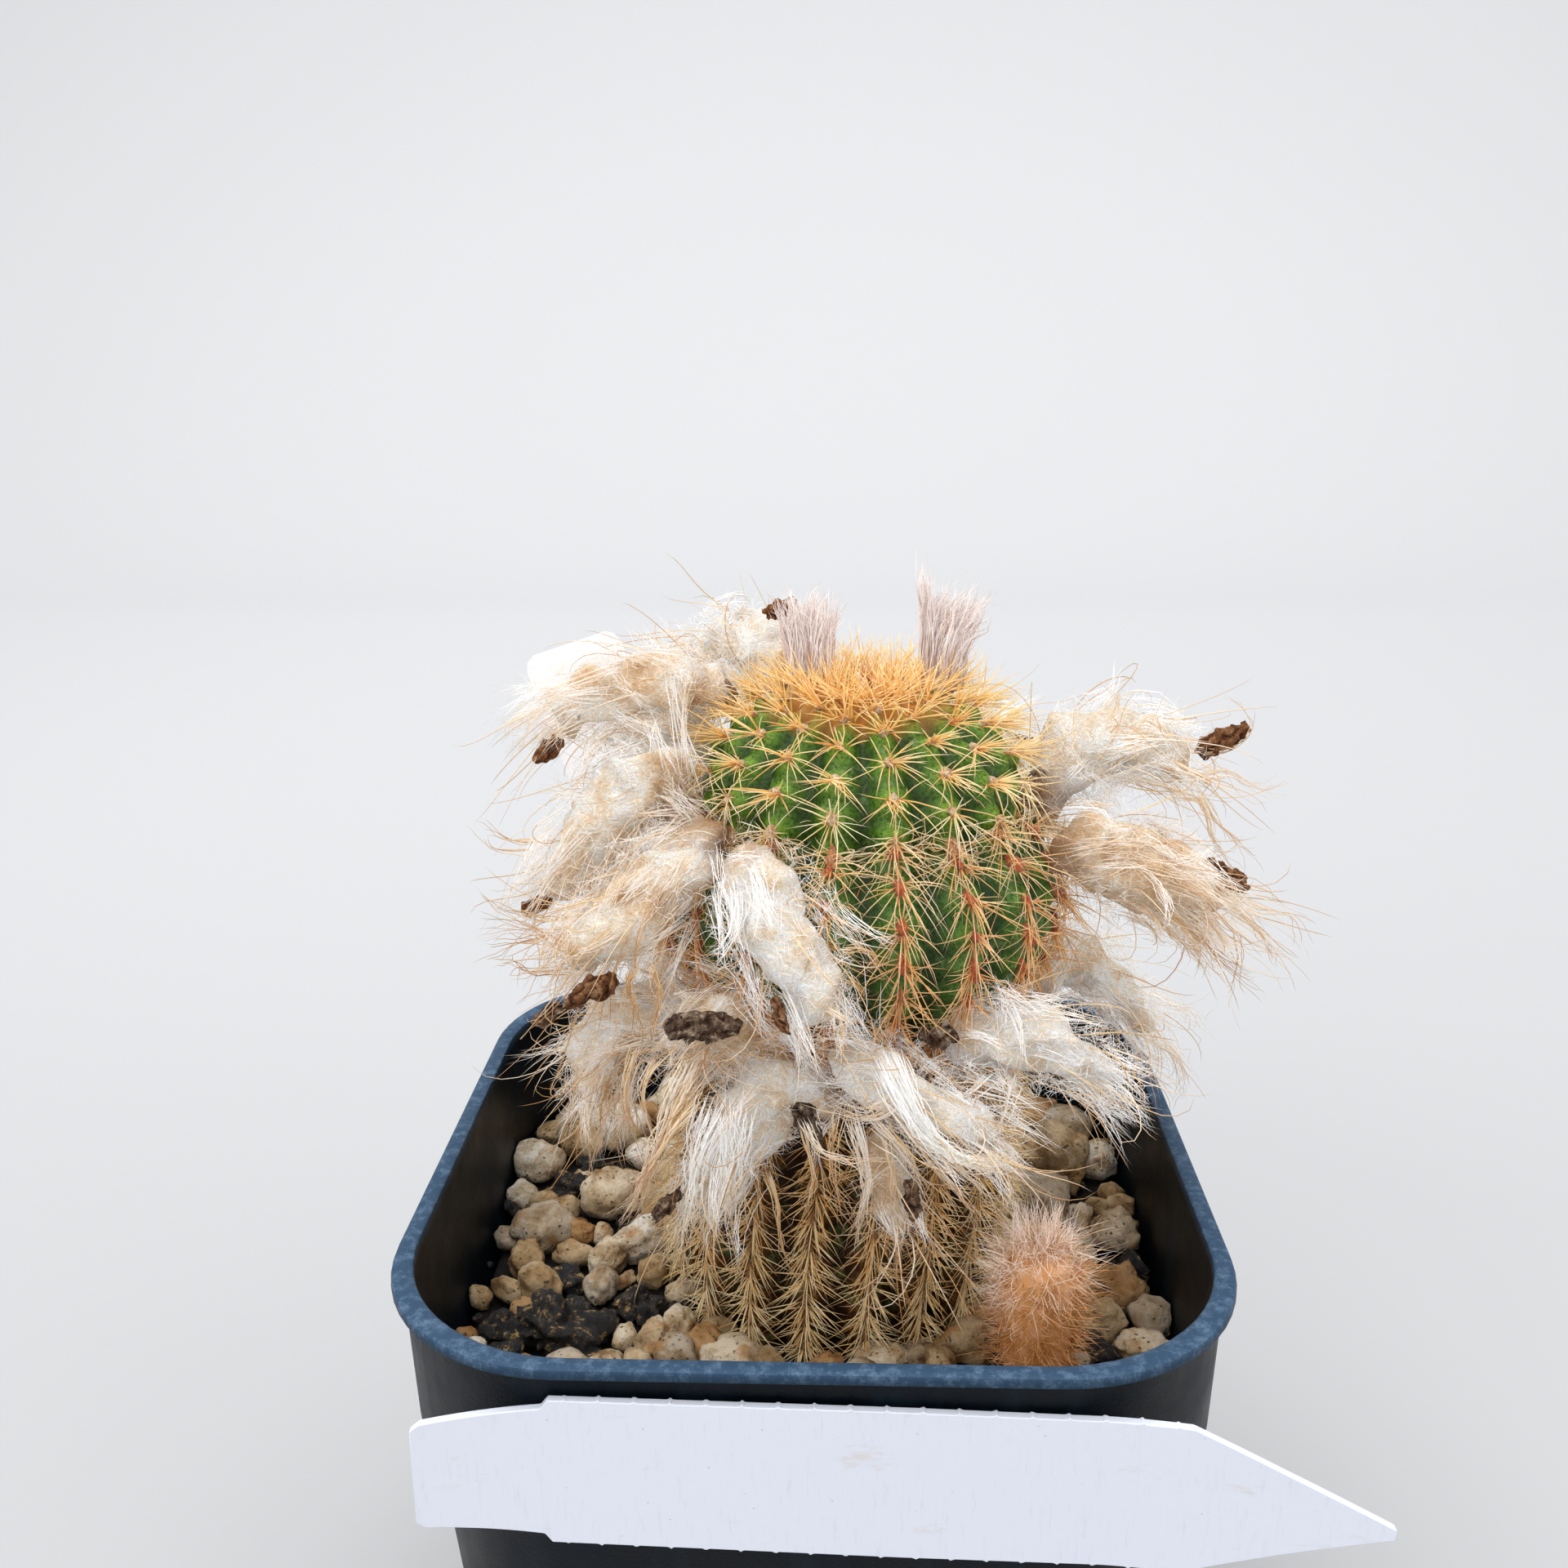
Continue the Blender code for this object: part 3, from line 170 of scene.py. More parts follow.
# Each dried fruit: the angle of its areole in degrees and its height, the points of its middle line, its
# thickest radius, its withered flower, how white its wool is from 0 to 1, and how many bristles it has. The
# flower is its two ends, its radius, and its shade from 0 (ash grey) to 1 (red brown)
FRUITS = {
    "fruit_left_top": (168, 41.5, ((-13.5, -1.5, 47.5), (-19.5, -4.5, 47.5), (-25.5, -6.0, 44.0)), 3.7,
                       ((-23.6, -6.6, 43.0), (-25.4, -7.0, 41.6), 0.9, 0.85), 0.5, 40),
    "fruit_left_high": (200, 37.5, ((-14.5, -6.5, 40.5), (-20.0, -9.0, 35.0), (-24.0, -9.5, 27.5)), 4.6,
                        ((-24.4, -11.0, 29.6), (-26.0, -11.6, 28.2), 0.8, 0.8), 0.7, 80),
    "fruit_left_low": (222, 33.5, ((-13.0, -13.5, 32.0), (-17.5, -16.5, 29.5), (-22.0, -18.5, 26.0)), 4.4,
                       ((-16.4, -20.6, 26.8), (-20.4, -22.0, 24.6), 1.1, 0.75), 0.45, 110),
    "fruit_front_white": (243, 33.0, ((-4.0, -19.0, 33.0), (-1.0, -21.8, 28.5), (1.6, -22.0, 21.5)), 4.4,
                          ((-2.8, -25.4, 27.0), (-1.6, -26.2, 24.0), 0.7, 0.7), 0.9, 24),
    "fruit_cage": (212, 18.0, ((-13.5, -11.5, 19.0), (-18.5, -13.5, 17.5), (-20.0, -14.5, 9.5)), 4.3,
                   ((-23.2, -14.5, 20.5), (-25.0, -15.4, 19.3), 0.9, 0.3), 0.6, 110),
    "fruit_bark": (235, 18.0, ((-6.5, -15.0, 19.5), (-8.8, -18.5, 21.2), (-12.0, -20.5, 19.0)), 3.6,
                   ((-5.6, -22.9, 23.0), (-12.0, -24.2, 23.6), 1.4, 0.15), 0.35, 60),
    "fruit_front_hanging": (250, 11.5, ((-3.0, -17.5, 14.8), (-7.0, -20.0, 10.5), (-11.0, -20.8, 3.6)), 3.9,
                            ((-11.8, -23.4, 7.0), (-13.6, -24.0, 5.2), 0.9, 0.2), 0.85, 90),
    "fruit_front_loop": (274, 17.0, ((4.0, -18.2, 17.6), (10.5, -20.5, 14.6), (18.0, -21.6, 10.6)), 3.5,
                         ((-0.6, -22.0, 14.6), (0.6, -23.2, 12.4), 1.0, 0.05), 0.95, 70),
    "fruit_front_thin": (284, 7.0, ((6.0, -19.0, 8.6), (7.2, -20.4, 5.8), (9.0, -20.8, 1.0)), 2.2,
                         ((8.6, -22.4, 7.8), (9.2, -22.9, 4.8), 0.9, 0.25), 0.35, 50),
    "fruit_right_low": (308, 17.5, ((15.0, -14.5, 18.6), (22.0, -16.5, 18.0), (28.5, -16.0, 13.5)), 4.1,
                        ((9.6, -17.6, 19.8), (12.8, -18.6, 20.4), 1.1, 0.1), 1.0, 44),
    "fruit_right_back": (
        12, 17.5, ((25.0, 4.5, 17.6), (31.0, 6.0, 13.6), (35.8, 6.5, 6.5)), 3.5, None, 0.75, 50,
    ),
    "fruit_right_high": (0, 36.0, ((24.5, 1.5, 40.0), (30.5, 1.5, 41.2), (36.5, 0.5, 38.8)), 4.8,
                         ((36.2, -0.6, 40.6), (40.6, -0.8, 43.2), 1.2, 0.75), 0.75, 80),
    "fruit_right_mid": (343, 32.0, ((27.0, -5.5, 32.4), (33.0, -6.5, 30.0), (38.2, -6.8, 26.0)), 5.0,
                        ((36.0, -6.0, 31.9), (40.4, -6.0, 29.2), 1.1, 0.8), 0.2, 80),
    "fruit_back_top": (118, 41.0, ((-4.5, 13.5, 47.0), (-8.5, 15.5, 48.5), (-13.5, 16.5, 46.5)), 4.1,
                       ((-5.0, 11.6, 51.6), (-2.4, 10.4, 53.2), 1.1, 1.0), 1.0, 60),
    "fruit_back_left": (
        158, 36.0, ((-13.0, 6.0, 40.5), (-17.5, 8.0, 42.0), (-21.5, 9.5, 38.0)), 4.3, None, 0.9, 50,
    ),
    "fruit_back_right": (58, 34.5, ((15.5, 18.5, 38.0), (18.5, 22.5, 36.0), (20.5, 25.0, 30.0)), 4.3,
                         ((22.0, 25.8, 34.8), (24.6, 27.8, 33.6), 1.0, 0.5), 0.7, 60),
    "fruit_back_mid": (
        88, 17.5, ((4.5, 18.0, 18.4), (5.0, 22.5, 16.0), (5.5, 25.0, 9.0)), 4.2, None, 0.8, 60,
    ),
    "fruit_back_low": (145, 17.5, ((-11.0, 13.0, 18.2), (-15.5, 16.0, 16.0), (-18.5, 17.5, 9.0)), 4.1,
                       ((-17.6, 20.2, 16.2), (-20.0, 22.2, 15.0), 1.0, 0.4), 0.6, 60),
    "fruit_back_hanging": (48, 17.5, ((18.0, 14.0, 17.5), (21.5, 17.0, 14.0), (23.0, 18.5, 7.0)), 4.0,
                           ((24.4, 19.6, 13.2), (26.6, 21.2, 12.0), 1.0, 0.3), 0.7, 60),
}
# Along a withered flower: its radius as a share of its thickest
FLOWER_SHAPE = ((0.0, 0.5), (0.25, 0.8), (0.55, 1.0), (0.8, 0.8), (1.0, 0.35))
SHORTEST_FLOWER = 3.4 * MM
# Each young fruit: its areole's angle and height, the points of its middle line, its thickest radius, the
# place that its hair rises from, and the tips of its locks, left to right
YOUNG_HAIRS = 430
YOUNG_MATTED_HAIRS = 150
YOUNG_FRUITS = {
    "young_fruit_left": (140, 44.6, ((-0.2, 2.5, 50.0), (-0.6, 2.2, 53.5)), 2.9, (-0.5, 2.2, 46.4), (
        (-3.5, 2.0, 55.7), (-2.3, 1.6, 56.4), (-0.9, 2.4, 55.4),
        (0.3, 2.2, 56.2), (1.6, 1.8, 55.6), (2.5, 2.4, 54.5),
    )),
    "young_fruit_right": (25, 44.4, ((12.6, 2.6, 49.6), (13.2, 2.2, 55.0)), 2.9, (12.0, 2.2, 46.6), (
        (10.2, 2.2, 59.0), (10.9, 2.0, 57.8), (12.6, 2.6, 56.7), (14.0, 1.8, 56.4), (15.5, 2.4, 56.6),
        (16.8, 2.2, 56.0), (16.4, 2.0, 54.0), (15.1, 1.6, 54.5),
    )),
}
# Locks that hang clear of the fruits: how many hairs, how far apart they start, how pale they are from 0
# (tan) to 1 (white), and the points of their path
LOCKS = {
    "front_locks": (
        (16, 0.7, 0.62, ((7.2, -22.5, 20.6), (8.2, -23.2, 18.6), (7.4, -23.9, 16.5), (5.4, -24.6, 15.6),
                         (2.4, -25.3, 16.6), (-0.6, -26.0, 18.8))),
        (12, 0.6, 0.7, ((6.1, -22.0, 19.9), (7.4, -22.9, 18.6), (6.8, -23.8, 16.9), (4.6, -24.6, 16.1),
                        (1.7, -25.5, 17.8))),
        (60, 1.25, 1.0, ((6.3, -23.5, 20.6), (8.3, -24.7, 16.5), (10.1, -24.3, 13.6), (12.4, -24.0, 11.7),
                         (14.4, -23.7, 10.7), (16.4, -23.3, 10.9), (18.4, -23.0, 11.9))),
        (10, 0.5, 0.5, ((-0.5, -25.0, 15.6), (0.4, -25.2, 13.5), (1.7, -25.4, 12.4), (3.9, -25.6, 11.9),
                        (6.1, -25.8, 12.3), (7.8, -26.0, 13.3))),
        (22, 0.9, 0.66, ((3.7, -23.5, 14.8), (4.5, -23.2, 11.6), (5.0, -23.0, 7.9), (4.1, -22.8, 4.4),
                         (3.5, -22.5, 1.0))),
        (12, 0.7, 0.6, ((5.2, -24.0, 14.8), (7.9, -23.7, 11.9), (9.3, -23.3, 9.2), (10.3, -23.0, 5.4))),
        (9, 0.5, 0.5, ((7.9, -24.0, 15.1), (10.6, -23.5, 10.8), (13.0, -23.0, 7.5), (14.9, -22.5, 4.6),
                       (15.9, -22.0, 0.6))),
        (6, 0.4, 0.55, ((10.6, -24.0, 12.9), (13.8, -23.7, 9.5), (15.9, -23.3, 7.0), (17.5, -23.0, 5.8))),
        (6, 0.4, 0.4, ((-0.5, -24.5, 14.5), (0.3, -24.1, 11.1), (0.4, -23.8, 8.3), (-0.6, -23.4, 5.0),
                       (-2.0, -23.0, 2.1))),
        (7, 0.6, 0.45, ((-3.8, -22.0, 8.4), (-2.9, -21.8, 4.4), (-2.5, -21.7, 0.6), (-0.6, -21.5, -2.4))),
        (9, 0.7, 0.4, ((2.6, -23.6, 15.4), (2.0, -23.4, 11.0), (3.0, -23.0, 6.0), (6.4, -22.4, 2.4))),
        (6, 0.5, 0.4, ((6.4, -23.8, 13.6), (7.2, -23.4, 9.4), (7.6, -23.0, 5.0), (9.0, -22.6, 1.2))),
    ),
    "left_locks": (
        (26, 1.2, 0.55, ((-9.7, -23.5, 19.8), (-11.7, -23.1, 15.4), (-13.5, -22.8, 10.1), (-15.3, -22.4, 5.9),
                         (-17.3, -22.0, 2.5))),
        (34, 1.5, 0.9, ((-7.5, -24.5, 16.2), (-9.2, -24.0, 12.1), (-10.0, -23.5, 8.0), (-11.0, -23.0, 3.8),
                        (-11.6, -22.5, 0.5))),
        (30, 1.5, 0.95, ((-6.4, -25.0, 16.5), (-6.7, -24.3, 11.1), (-7.3, -23.7, 7.1), (-9.1, -23.0, 3.3))),
        (18, 1.0, 0.4, ((-9.3, -24.0, 17.1), (-12.2, -23.3, 13.0), (-14.7, -22.7, 7.9), (-16.2, -22.0, 5.9))),
        (9, 0.6, 0.35,
         ((-12.9, -21.0, 19.2), (-14.4, -20.8, 16.5), (-14.4, -20.5, 13.1), (-13.3, -20.2, 10.4),
          (-12.0, -20.0, 8.9))),
        (9, 0.6, 0.4,
         ((-15.0, -20.0, 19.6), (-16.1, -19.7, 15.9), (-16.1, -19.3, 11.9), (-15.1, -19.0, 9.6))),
        (8, 0.9, 0.2,
         ((-17.8, -18.0, 27.6), (-21.6, -17.7, 28.1), (-24.8, -17.3, 29.7), (-29.3, -17.0, 29.9))),
        (7, 0.9, 0.25,
         ((-19.3, -14.0, 29.5), (-23.5, -13.3, 28.7), (-27.6, -12.7, 29.6), (-30.4, -12.0, 30.5))),
        (6, 0.8, 0.15,
         ((-20.7, -17.0, 26.0), (-24.1, -17.0, 25.5), (-26.2, -17.0, 26.2), (-27.6, -17.0, 25.7))),
        (7, 0.9, 0.2, ((-20.1, -17.0, 29.0), (-24.6, -17.0, 28.3), (-28.2, -17.0, 27.1))),
        (5, 0.7, 0.25, ((-23.5, -8.0, 34.4), (-26.9, -8.0, 34.2), (-29.0, -8.0, 35.1), (-30.8, -8.0, 35.8))),
        (4, 0.6, 0.3, ((-24.2, -8.0, 33.4), (-27.5, -8.0, 33.2), (-29.8, -8.0, 33.7), (-31.0, -8.0, 35.6))),
        (9, 0.6, 0.15,
         ((-15.0, -20.0, 26.9), (-15.5, -20.4, 25.4), (-14.9, -20.8, 23.4), (-14.1, -21.0, 20.8))),
        (8, 0.6, 0.15,
         ((-13.7, -20.0, 26.9), (-12.9, -20.6, 25.0), (-13.4, -21.0, 22.4), (-14.3, -21.2, 20.4))),
    ),
    "right_locks": (
        (9, 0.7, 0.5, ((32.9, -1.5, 38.9), (36.3, -1.7, 38.9), (38.8, -1.9, 39.3), (40.6, -2.1, 38.1),
                       (42.5, -2.3, 37.7), (45.3, -2.5, 39.7))),
        (3, 0.5, 0.35, ((29.9, -1.5, 42.8), (30.5, -1.6, 44.4), (31.6, -1.6, 44.6), (32.2, -1.7, 43.1),
                        (33.6, -1.8, 42.1), (35.8, -1.9, 42.4), (36.5, -1.9, 43.9), (35.6, -2.0, 44.7))),
        (3, 0.5, 0.3, ((34.8, -1.0, 41.4), (37.8, -1.2, 41.1), (39.7, -1.4, 41.9), (40.6, -1.6, 43.6),
                       (39.8, -1.8, 45.5), (38.4, -2.0, 46.7))),
        (7, 0.8, 0.45, ((34.0, -1.5, 36.5), (36.5, -1.9, 36.3), (38.0, -2.2, 34.6), (40.4, -2.6, 32.0),
                        (41.4, -3.0, 30.4))),
        (6, 0.6, 0.4, ((35.9, -2.0, 37.2), (37.0, -2.2, 35.1), (37.7, -2.5, 32.8), (38.9, -2.8, 31.0),
                       (40.7, -3.0, 29.7))),
        (4, 0.5, 0.55, ((24.5, -1.0, 42.4), (24.6, -1.0, 44.5), (24.2, -1.0, 46.3))),
        (4, 0.6, 0.45, ((26.9, -1.0, 44.0), (28.1, -1.0, 45.3), (28.1, -1.0, 46.5), (26.7, -1.0, 47.3))),
        (4, 0.6, 0.4, ((29.3, -1.0, 42.1), (29.7, -1.0, 43.4), (31.1, -1.0, 44.2), (32.7, -1.0, 42.9),
                       (33.8, -1.0, 42.1))),
        (12, 0.8, 0.4, ((32.1, -9.0, 28.3), (34.2, -8.8, 26.6), (36.3, -8.5, 24.6), (39.8, -8.2, 21.5),
                        (42.8, -8.0, 20.3))),
        (6, 0.8, 0.4, ((37.5, -8.0, 29.7), (40.2, -8.0, 26.6), (42.2, -8.0, 23.9), (43.1, -8.0, 21.5))),
        (4, 0.6, 0.3, ((38.6, -8.0, 28.7), (41.1, -8.0, 27.8), (43.6, -8.0, 27.5), (44.9, -8.0, 26.3),
                       (45.2, -8.0, 24.7))),
        (3, 0.5, 0.3, ((30.1, -9.0, 27.7), (31.2, -9.0, 26.4), (31.9, -9.0, 24.8), (32.6, -9.0, 23.9))),
        (6, 0.8, 0.35, ((35.7, -8.0, 28.7), (38.3, -8.0, 26.0), (40.9, -8.0, 24.4), (44.0, -8.0, 23.0))),
        (4, 0.6, 0.3, ((39.0, -8.0, 26.0), (39.5, -8.0, 23.3), (39.2, -8.0, 20.6), (38.7, -8.0, 18.8))),
        (4, 0.6, 0.35, ((31.1, -9.0, 27.5), (33.2, -9.0, 25.6), (35.3, -9.0, 24.0), (36.5, -9.0, 21.6))),
        (12, 1.2, 0.7, ((32.0, 4.0, 14.5), (35.6, 4.0, 13.0), (38.5, 4.0, 11.2), (40.5, 4.0, 9.7))),
        (12, 1.2, 0.6,
         ((33.7, 4.0, 9.6), (35.9, 4.0, 8.4), (37.7, 4.0, 6.6), (38.1, 4.0, 4.4), (37.5, 4.0, 1.9))),
        (9, 0.8, 0.6, ((17.6, -19.0, 17.0), (17.2, -19.4, 14.2), (16.4, -19.8, 11.5), (16.2, -20.0, 8.9))),
        (7, 0.5, 0.75, ((15.6, -20.0, 17.2), (13.7, -19.9, 15.3), (11.9, -19.8, 15.3), (11.1, -19.6, 16.4))),
    ),
    "stem_curls": (
        (6, 0.5, 0.5, ((0.9, -24.0, 25.6), (2.4, -24.3, 24.9), (3.0, -24.7, 24.3), (2.2, -25.0, 23.3))),
        (6, 0.6, 0.35, ((2.8, -21.0, 29.5), (4.5, -20.8, 29.6), (5.6, -20.5, 28.6), (5.5, -20.2, 27.0),
                        (4.3, -20.0, 26.2))),
        (6, 0.6, 0.3, ((2.4, -21.0, 27.1), (3.9, -20.7, 26.0), (5.0, -20.3, 24.9), (6.1, -20.0, 25.1))),
    ),
}

# Offset at the foot of the stem, in millimetres
PUP_CENTRE = (20.8, -19.0)
PUP_RADIUS = 5.2
PUP_BODY_RADIUS = PUP_RADIUS - 1.3
PUP_TOP = 0.6
PUP_FOOT = -21.0
PUP_HAIRS = 2900
PUP_SEED = 77
# Its radius from foot to top as a share of the body's, and where its wisps end over its top
PUP_SHAPE = ((0.0, 0.5), (0.3, 0.72), (0.5, 0.8), (0.7, 0.92), (0.9, 0.9), (1.0, 0.5))
WISPS = ((-2.6, 0.2, 4.4), (-1.4, 1.2, 3.0), (1.6, 0.4, 3.8), (0.4, -0.6, 2.4), (2.8, 0.0, 1.8))

# Labels: half width at each length from the head, in millimetres, and columns of faces along them
LABEL_THICK = 0.7 * MM
FRONT_COLUMNS = 420
STAKE_COLUMNS = 159
FRONT_WIDTHS = (
    (0.0, 4.6), (0.7, 5.2), (10.4, 6.35), (11.0, 7.2), (40.0, 7.35), (62.6, 7.2), (70.0, 4.0), (78.4, 0.5),
)
STAKE_WIDTHS = ((0.0, 4.4), (0.5, 5.2), (1.6, 5.7), (62.0, 5.7), (79.6, 0.5))
FRONT_LABEL_HEAD = (-32.0, -9.8)
FRONT_LABEL_TURN = math.radians(-1.4)
# Between these lengths the front label lies flat, and past them its ends stand off the wall by these bows
FRONT_FLAT_FROM = 11.0
FRONT_FLAT_TO = 56.0
LABEL_LENGTH = 80.0
HEAD_BOW = 1.2
POINT_BOW = 3.4
# The fine nibs that the cutter left along the front label's edges
NIB_SPAN = (12.2, 61.5)
NIB_PITCH = 2.9
NIB_HEIGHT = 0.2
NIB_WIDTH = 0.22
STAKE_TOP = (-28.3, 29.5, 45.0)
STAKE_LEAN = math.radians(18.5)

# The place in the plant that the lights face
LIT_PLACE = Vector((0, 0, 0.09))


# Lines and places

def point(x, y, z):
    """A layout point, in millimetres from the middle of the rim, in metres."""
    return Vector((x * MM, y * MM, z * MM + POT_HEIGHT))


def table(rows, at):
    """The value at a place in a table of (place, value) rows, joined by straight lines."""
    if at <= rows[0][0]:
        return rows[0][1]
    for (a, low), (b, high) in zip(rows, rows[1:]):
        if at <= b:
            return low + (high - low) * (at - a) / (b - a)
    return rows[-1][1]


def spline(points, share):
    """A point of the smooth curve through the points, at a share of its length in spans."""
    spans = len(points) - 1
    position = min(max(share, 0.0), 1.0) * spans
    index = min(int(position), spans - 1)
    t = position - index
    before = points[index - 1] if index else points[0] * 2 - points[1]
    after = points[index + 2] if index + 2 <= spans else points[-1] * 2 - points[-2]
    a, b = points[index], points[index + 1]
    return 0.5 * (
        2 * a + (b - before) * t + (2 * before - 5 * a + 4 * b - after) * t * t
        + (3 * a - before - 3 * b + after) * t * t * t
    )


class Line:
    """A smooth middle line with sides that don't twist, sampled evenly."""

    def __init__(self, points, count=40):
        fine = [spline(points, t / 200) for t in range(201)]
        runs = [0.0]
        for a, b in zip(fine, fine[1:]):
            runs.append(runs[-1] + (b - a).length)
        self.length = runs[-1]
        self.places = []
        for step in range(count):
            wanted = self.length * step / (count - 1)
            index = min(bisect.bisect_left(runs, wanted, 1), 200)
            share = (wanted - runs[index - 1]) / max(runs[index] - runs[index - 1], 1e-9)
            self.places.append(fine[index - 1].lerp(fine[index], share))
        self.tangents = [
            (self.places[min(i + 1, count - 1)] - self.places[max(i - 1, 0)]).normalized()
            for i in range(count)
        ]
        side = self.tangents[0].orthogonal()
        self.sides = []
        for tangent in self.tangents:
            side = (side - tangent * side.dot(tangent)).normalized()
            self.sides.append(side.copy())

    def at(self, share):
        """Middle, tangent, side and up at a share of the length. Past the end it runs straight on."""
        position = share * (len(self.places) - 1)
        index = int(min(max(position, 0), len(self.places) - 2))
        a, b = self.places[index], self.places[index + 1]
        tangent, side = self.tangents[index], self.sides[index]
        return a + (b - a) * (position - index), tangent, side, tangent.cross(side)


def facing(angle):
    """The level direction that faces an angle round the upright axis."""
    return Vector((math.cos(angle), math.sin(angle), 0.0))


def round_line(side, up, turn):
    """The direction that leaves a line at an angle round it, from its side towards its up."""
    return side * math.cos(turn) + up * math.sin(turn)


def any_way(draw):
    """A random vector with no direction of its own."""
    return Vector((draw.gauss(0, 1), draw.gauss(0, 1), draw.gauss(0, 1)))


def shaken(place, scale, seed):
    """A smooth random vector for a place, with features about scale metres across."""
    return noise.noise_vector(place / scale + Vector((seed * 1.7, seed * 0.9, -seed * 1.3)))


# Materials

# How a Mix node takes its two colours: one laid over the other, or the two multiplied
OVER = {"output": 2, "data_type": "RGBA"}
TIMES = OVER | {"blend_type": "MULTIPLY"}


def linear(code):
    """An sRGB hex colour as linear red, green, blue and alpha."""
    shades = [int(code[at:at + 2], 16) / 255 for at in (1, 3, 5)]
    return (*[s / 12.92 if s <= 0.04045 else ((s + 0.055) / 1.055) ** 2.4 for s in shades], 1.0)


def add(look, kind, inputs=(), output=0, stops=(), **settings):
    """Adds a shader node with its settings and links, and returns one of its outputs. Its inputs are
    numbers, hex colours or sockets to link, in the node's own order, or by name or number. A colour ramp
    has stops as well."""
    node = look.node_tree.nodes.new("ShaderNode" + kind)
    for name, value in settings.items():
        setattr(node, name, value)
    for socket, value in inputs.items() if isinstance(inputs, dict) else enumerate(inputs):
        if isinstance(value, bpy.types.NodeSocket):
            look.node_tree.links.new(value, node.inputs[socket])
        else:
            node.inputs[socket].default_value = linear(value) if isinstance(value, str) else value
    for index, (place, code) in enumerate(stops):
        elements = node.color_ramp.elements
        element = elements[index] if index < 2 else elements.new(place)
        element.position = place
        element.color = linear(code)
    return node.outputs[output]


def new_look(name, **sockets):
    """A material with the shader's own sockets set, and its shader."""
    look = bpy.data.materials.new(name)
    look.use_nodes = True
    shader = look.node_tree.nodes["Principled BSDF"]
    for socket, value in sockets.items():
        shader.inputs[socket.replace("_", " ")].default_value = value
    return look, shader


def lead(look, shader, source, *sockets):
    """Links a pattern to the shader's sockets of these names."""
    for socket in sockets:
        look.node_tree.links.new(source, shader.inputs[socket])


def moulded_polypropylene():
    """Black-blue polypropylene, injection moulded: near black in the wall, with soft streaks, and slate
    blue on the rim, brightest on its top, which is a painted highlight; handling has rubbed it pale in
    fine specks and short scratches."""
    look, shader = new_look("moulded polypropylene", Roughness=0.45, IOR=1.49, Specular_IOR_Level=0.15)
    where = add(look, "TexCoord", output="Object")
    drawn_down = add(look, "Mapping", {"Vector": where, "Scale": (1.0, 1.0, 0.12)})
    cloud = add(look, "TexNoise", {"Vector": where, "Scale": 1 / (9 * MM), "Detail": 5.0, "Roughness": 0.55})
    grain = add(look, "TexNoise", {
        "Vector": where, "Scale": 1 / (0.35 * MM), "Detail": 3.0, "Roughness": 0.55,
    })
    rubs = add(look, "TexNoise", {"Vector": where, "Scale": 1 / (1.3 * MM), "Detail": 8.0, "Roughness": 0.8})
    runs = add(look, "TexNoise", {
        "Vector": drawn_down, "Scale": 1 / (3 * MM), "Detail": 4.0, "Roughness": 0.55,
    })
    rim = add(look, "Attribute", output="Fac", attribute_name="rim")
    base = add(look, "ValToRGB", (cloud,), stops=((0.3, "#02060b"), (0.55, "#040b13"), (0.75, "#08131e")))
    streaks = add(look, "MapRange", (runs, 0.5, 0.75, 0.0, 0.4))
    base = add(look, "Mix", {0: streaks, 6: base, 7: "#14242f"}, **OVER)
    # Painted highlight: slate blue laid over the rim, strongest on its top, where the light catches it
    base = add(look, "Mix", {0: rim, 6: base, 7: "#2a425a"}, **OVER)
    # Pale specks rubbed by handling, only on the rim and as strong as its painted highlight there
    rubbed_wear_and_highlight = add(look, "MapRange", (rubs, 0.48, 0.7, 0.0, 0.4))
    rubbed_wear_and_highlight = add(look, "Math", (rubbed_wear_and_highlight, rim), operation="MULTIPLY")
    base = add(look, "Mix", {0: rubbed_wear_and_highlight, 6: base, 7: "#7f9ab6"}, **OVER)
    scuffs = add(look, "MapRange", (rubs, 0.62, 0.72, 0.0, 0.08))
    base = add(look, "Mix", {0: scuffs, 6: base, 7: "#8294a2"}, **OVER)
    lead(look, shader, base, "Base Color")
    lead(look, shader, add(look, "MapRange", (cloud, 0.3, 0.7, 0.35, 0.55)), "Roughness")
    relief = add(look, "Bump", {"Strength": 0.8, "Distance": 0.05 * MM, "Height": grain})
    lead(look, shader, relief, "Normal")
    return look


def damp_peat():
    """Dark peat and fine lava grit, loose and matt, so that it swallows the light between the stones."""
    look, shader = new_look("damp peat mix", Roughness=0.95, IOR=1.4)
    where = add(look, "TexCoord", output="Object")
    crumbs = add(look, "TexNoise", {
        "Vector": where, "Scale": 1 / (1.2 * MM), "Detail": 6.0, "Roughness": 0.7,
    })
    base = add(look, "ValToRGB", (crumbs,), stops=((0.3, "#0e0c0b"), (0.55, "#1d1916"), (0.72, "#332b25")))
    lead(look, shader, base, "Base Color")
    relief = add(look, "Bump", {"Strength": 1.0, "Distance": 0.6 * MM, "Height": crumbs})
    lead(look, shader, relief, "Normal")
    return look


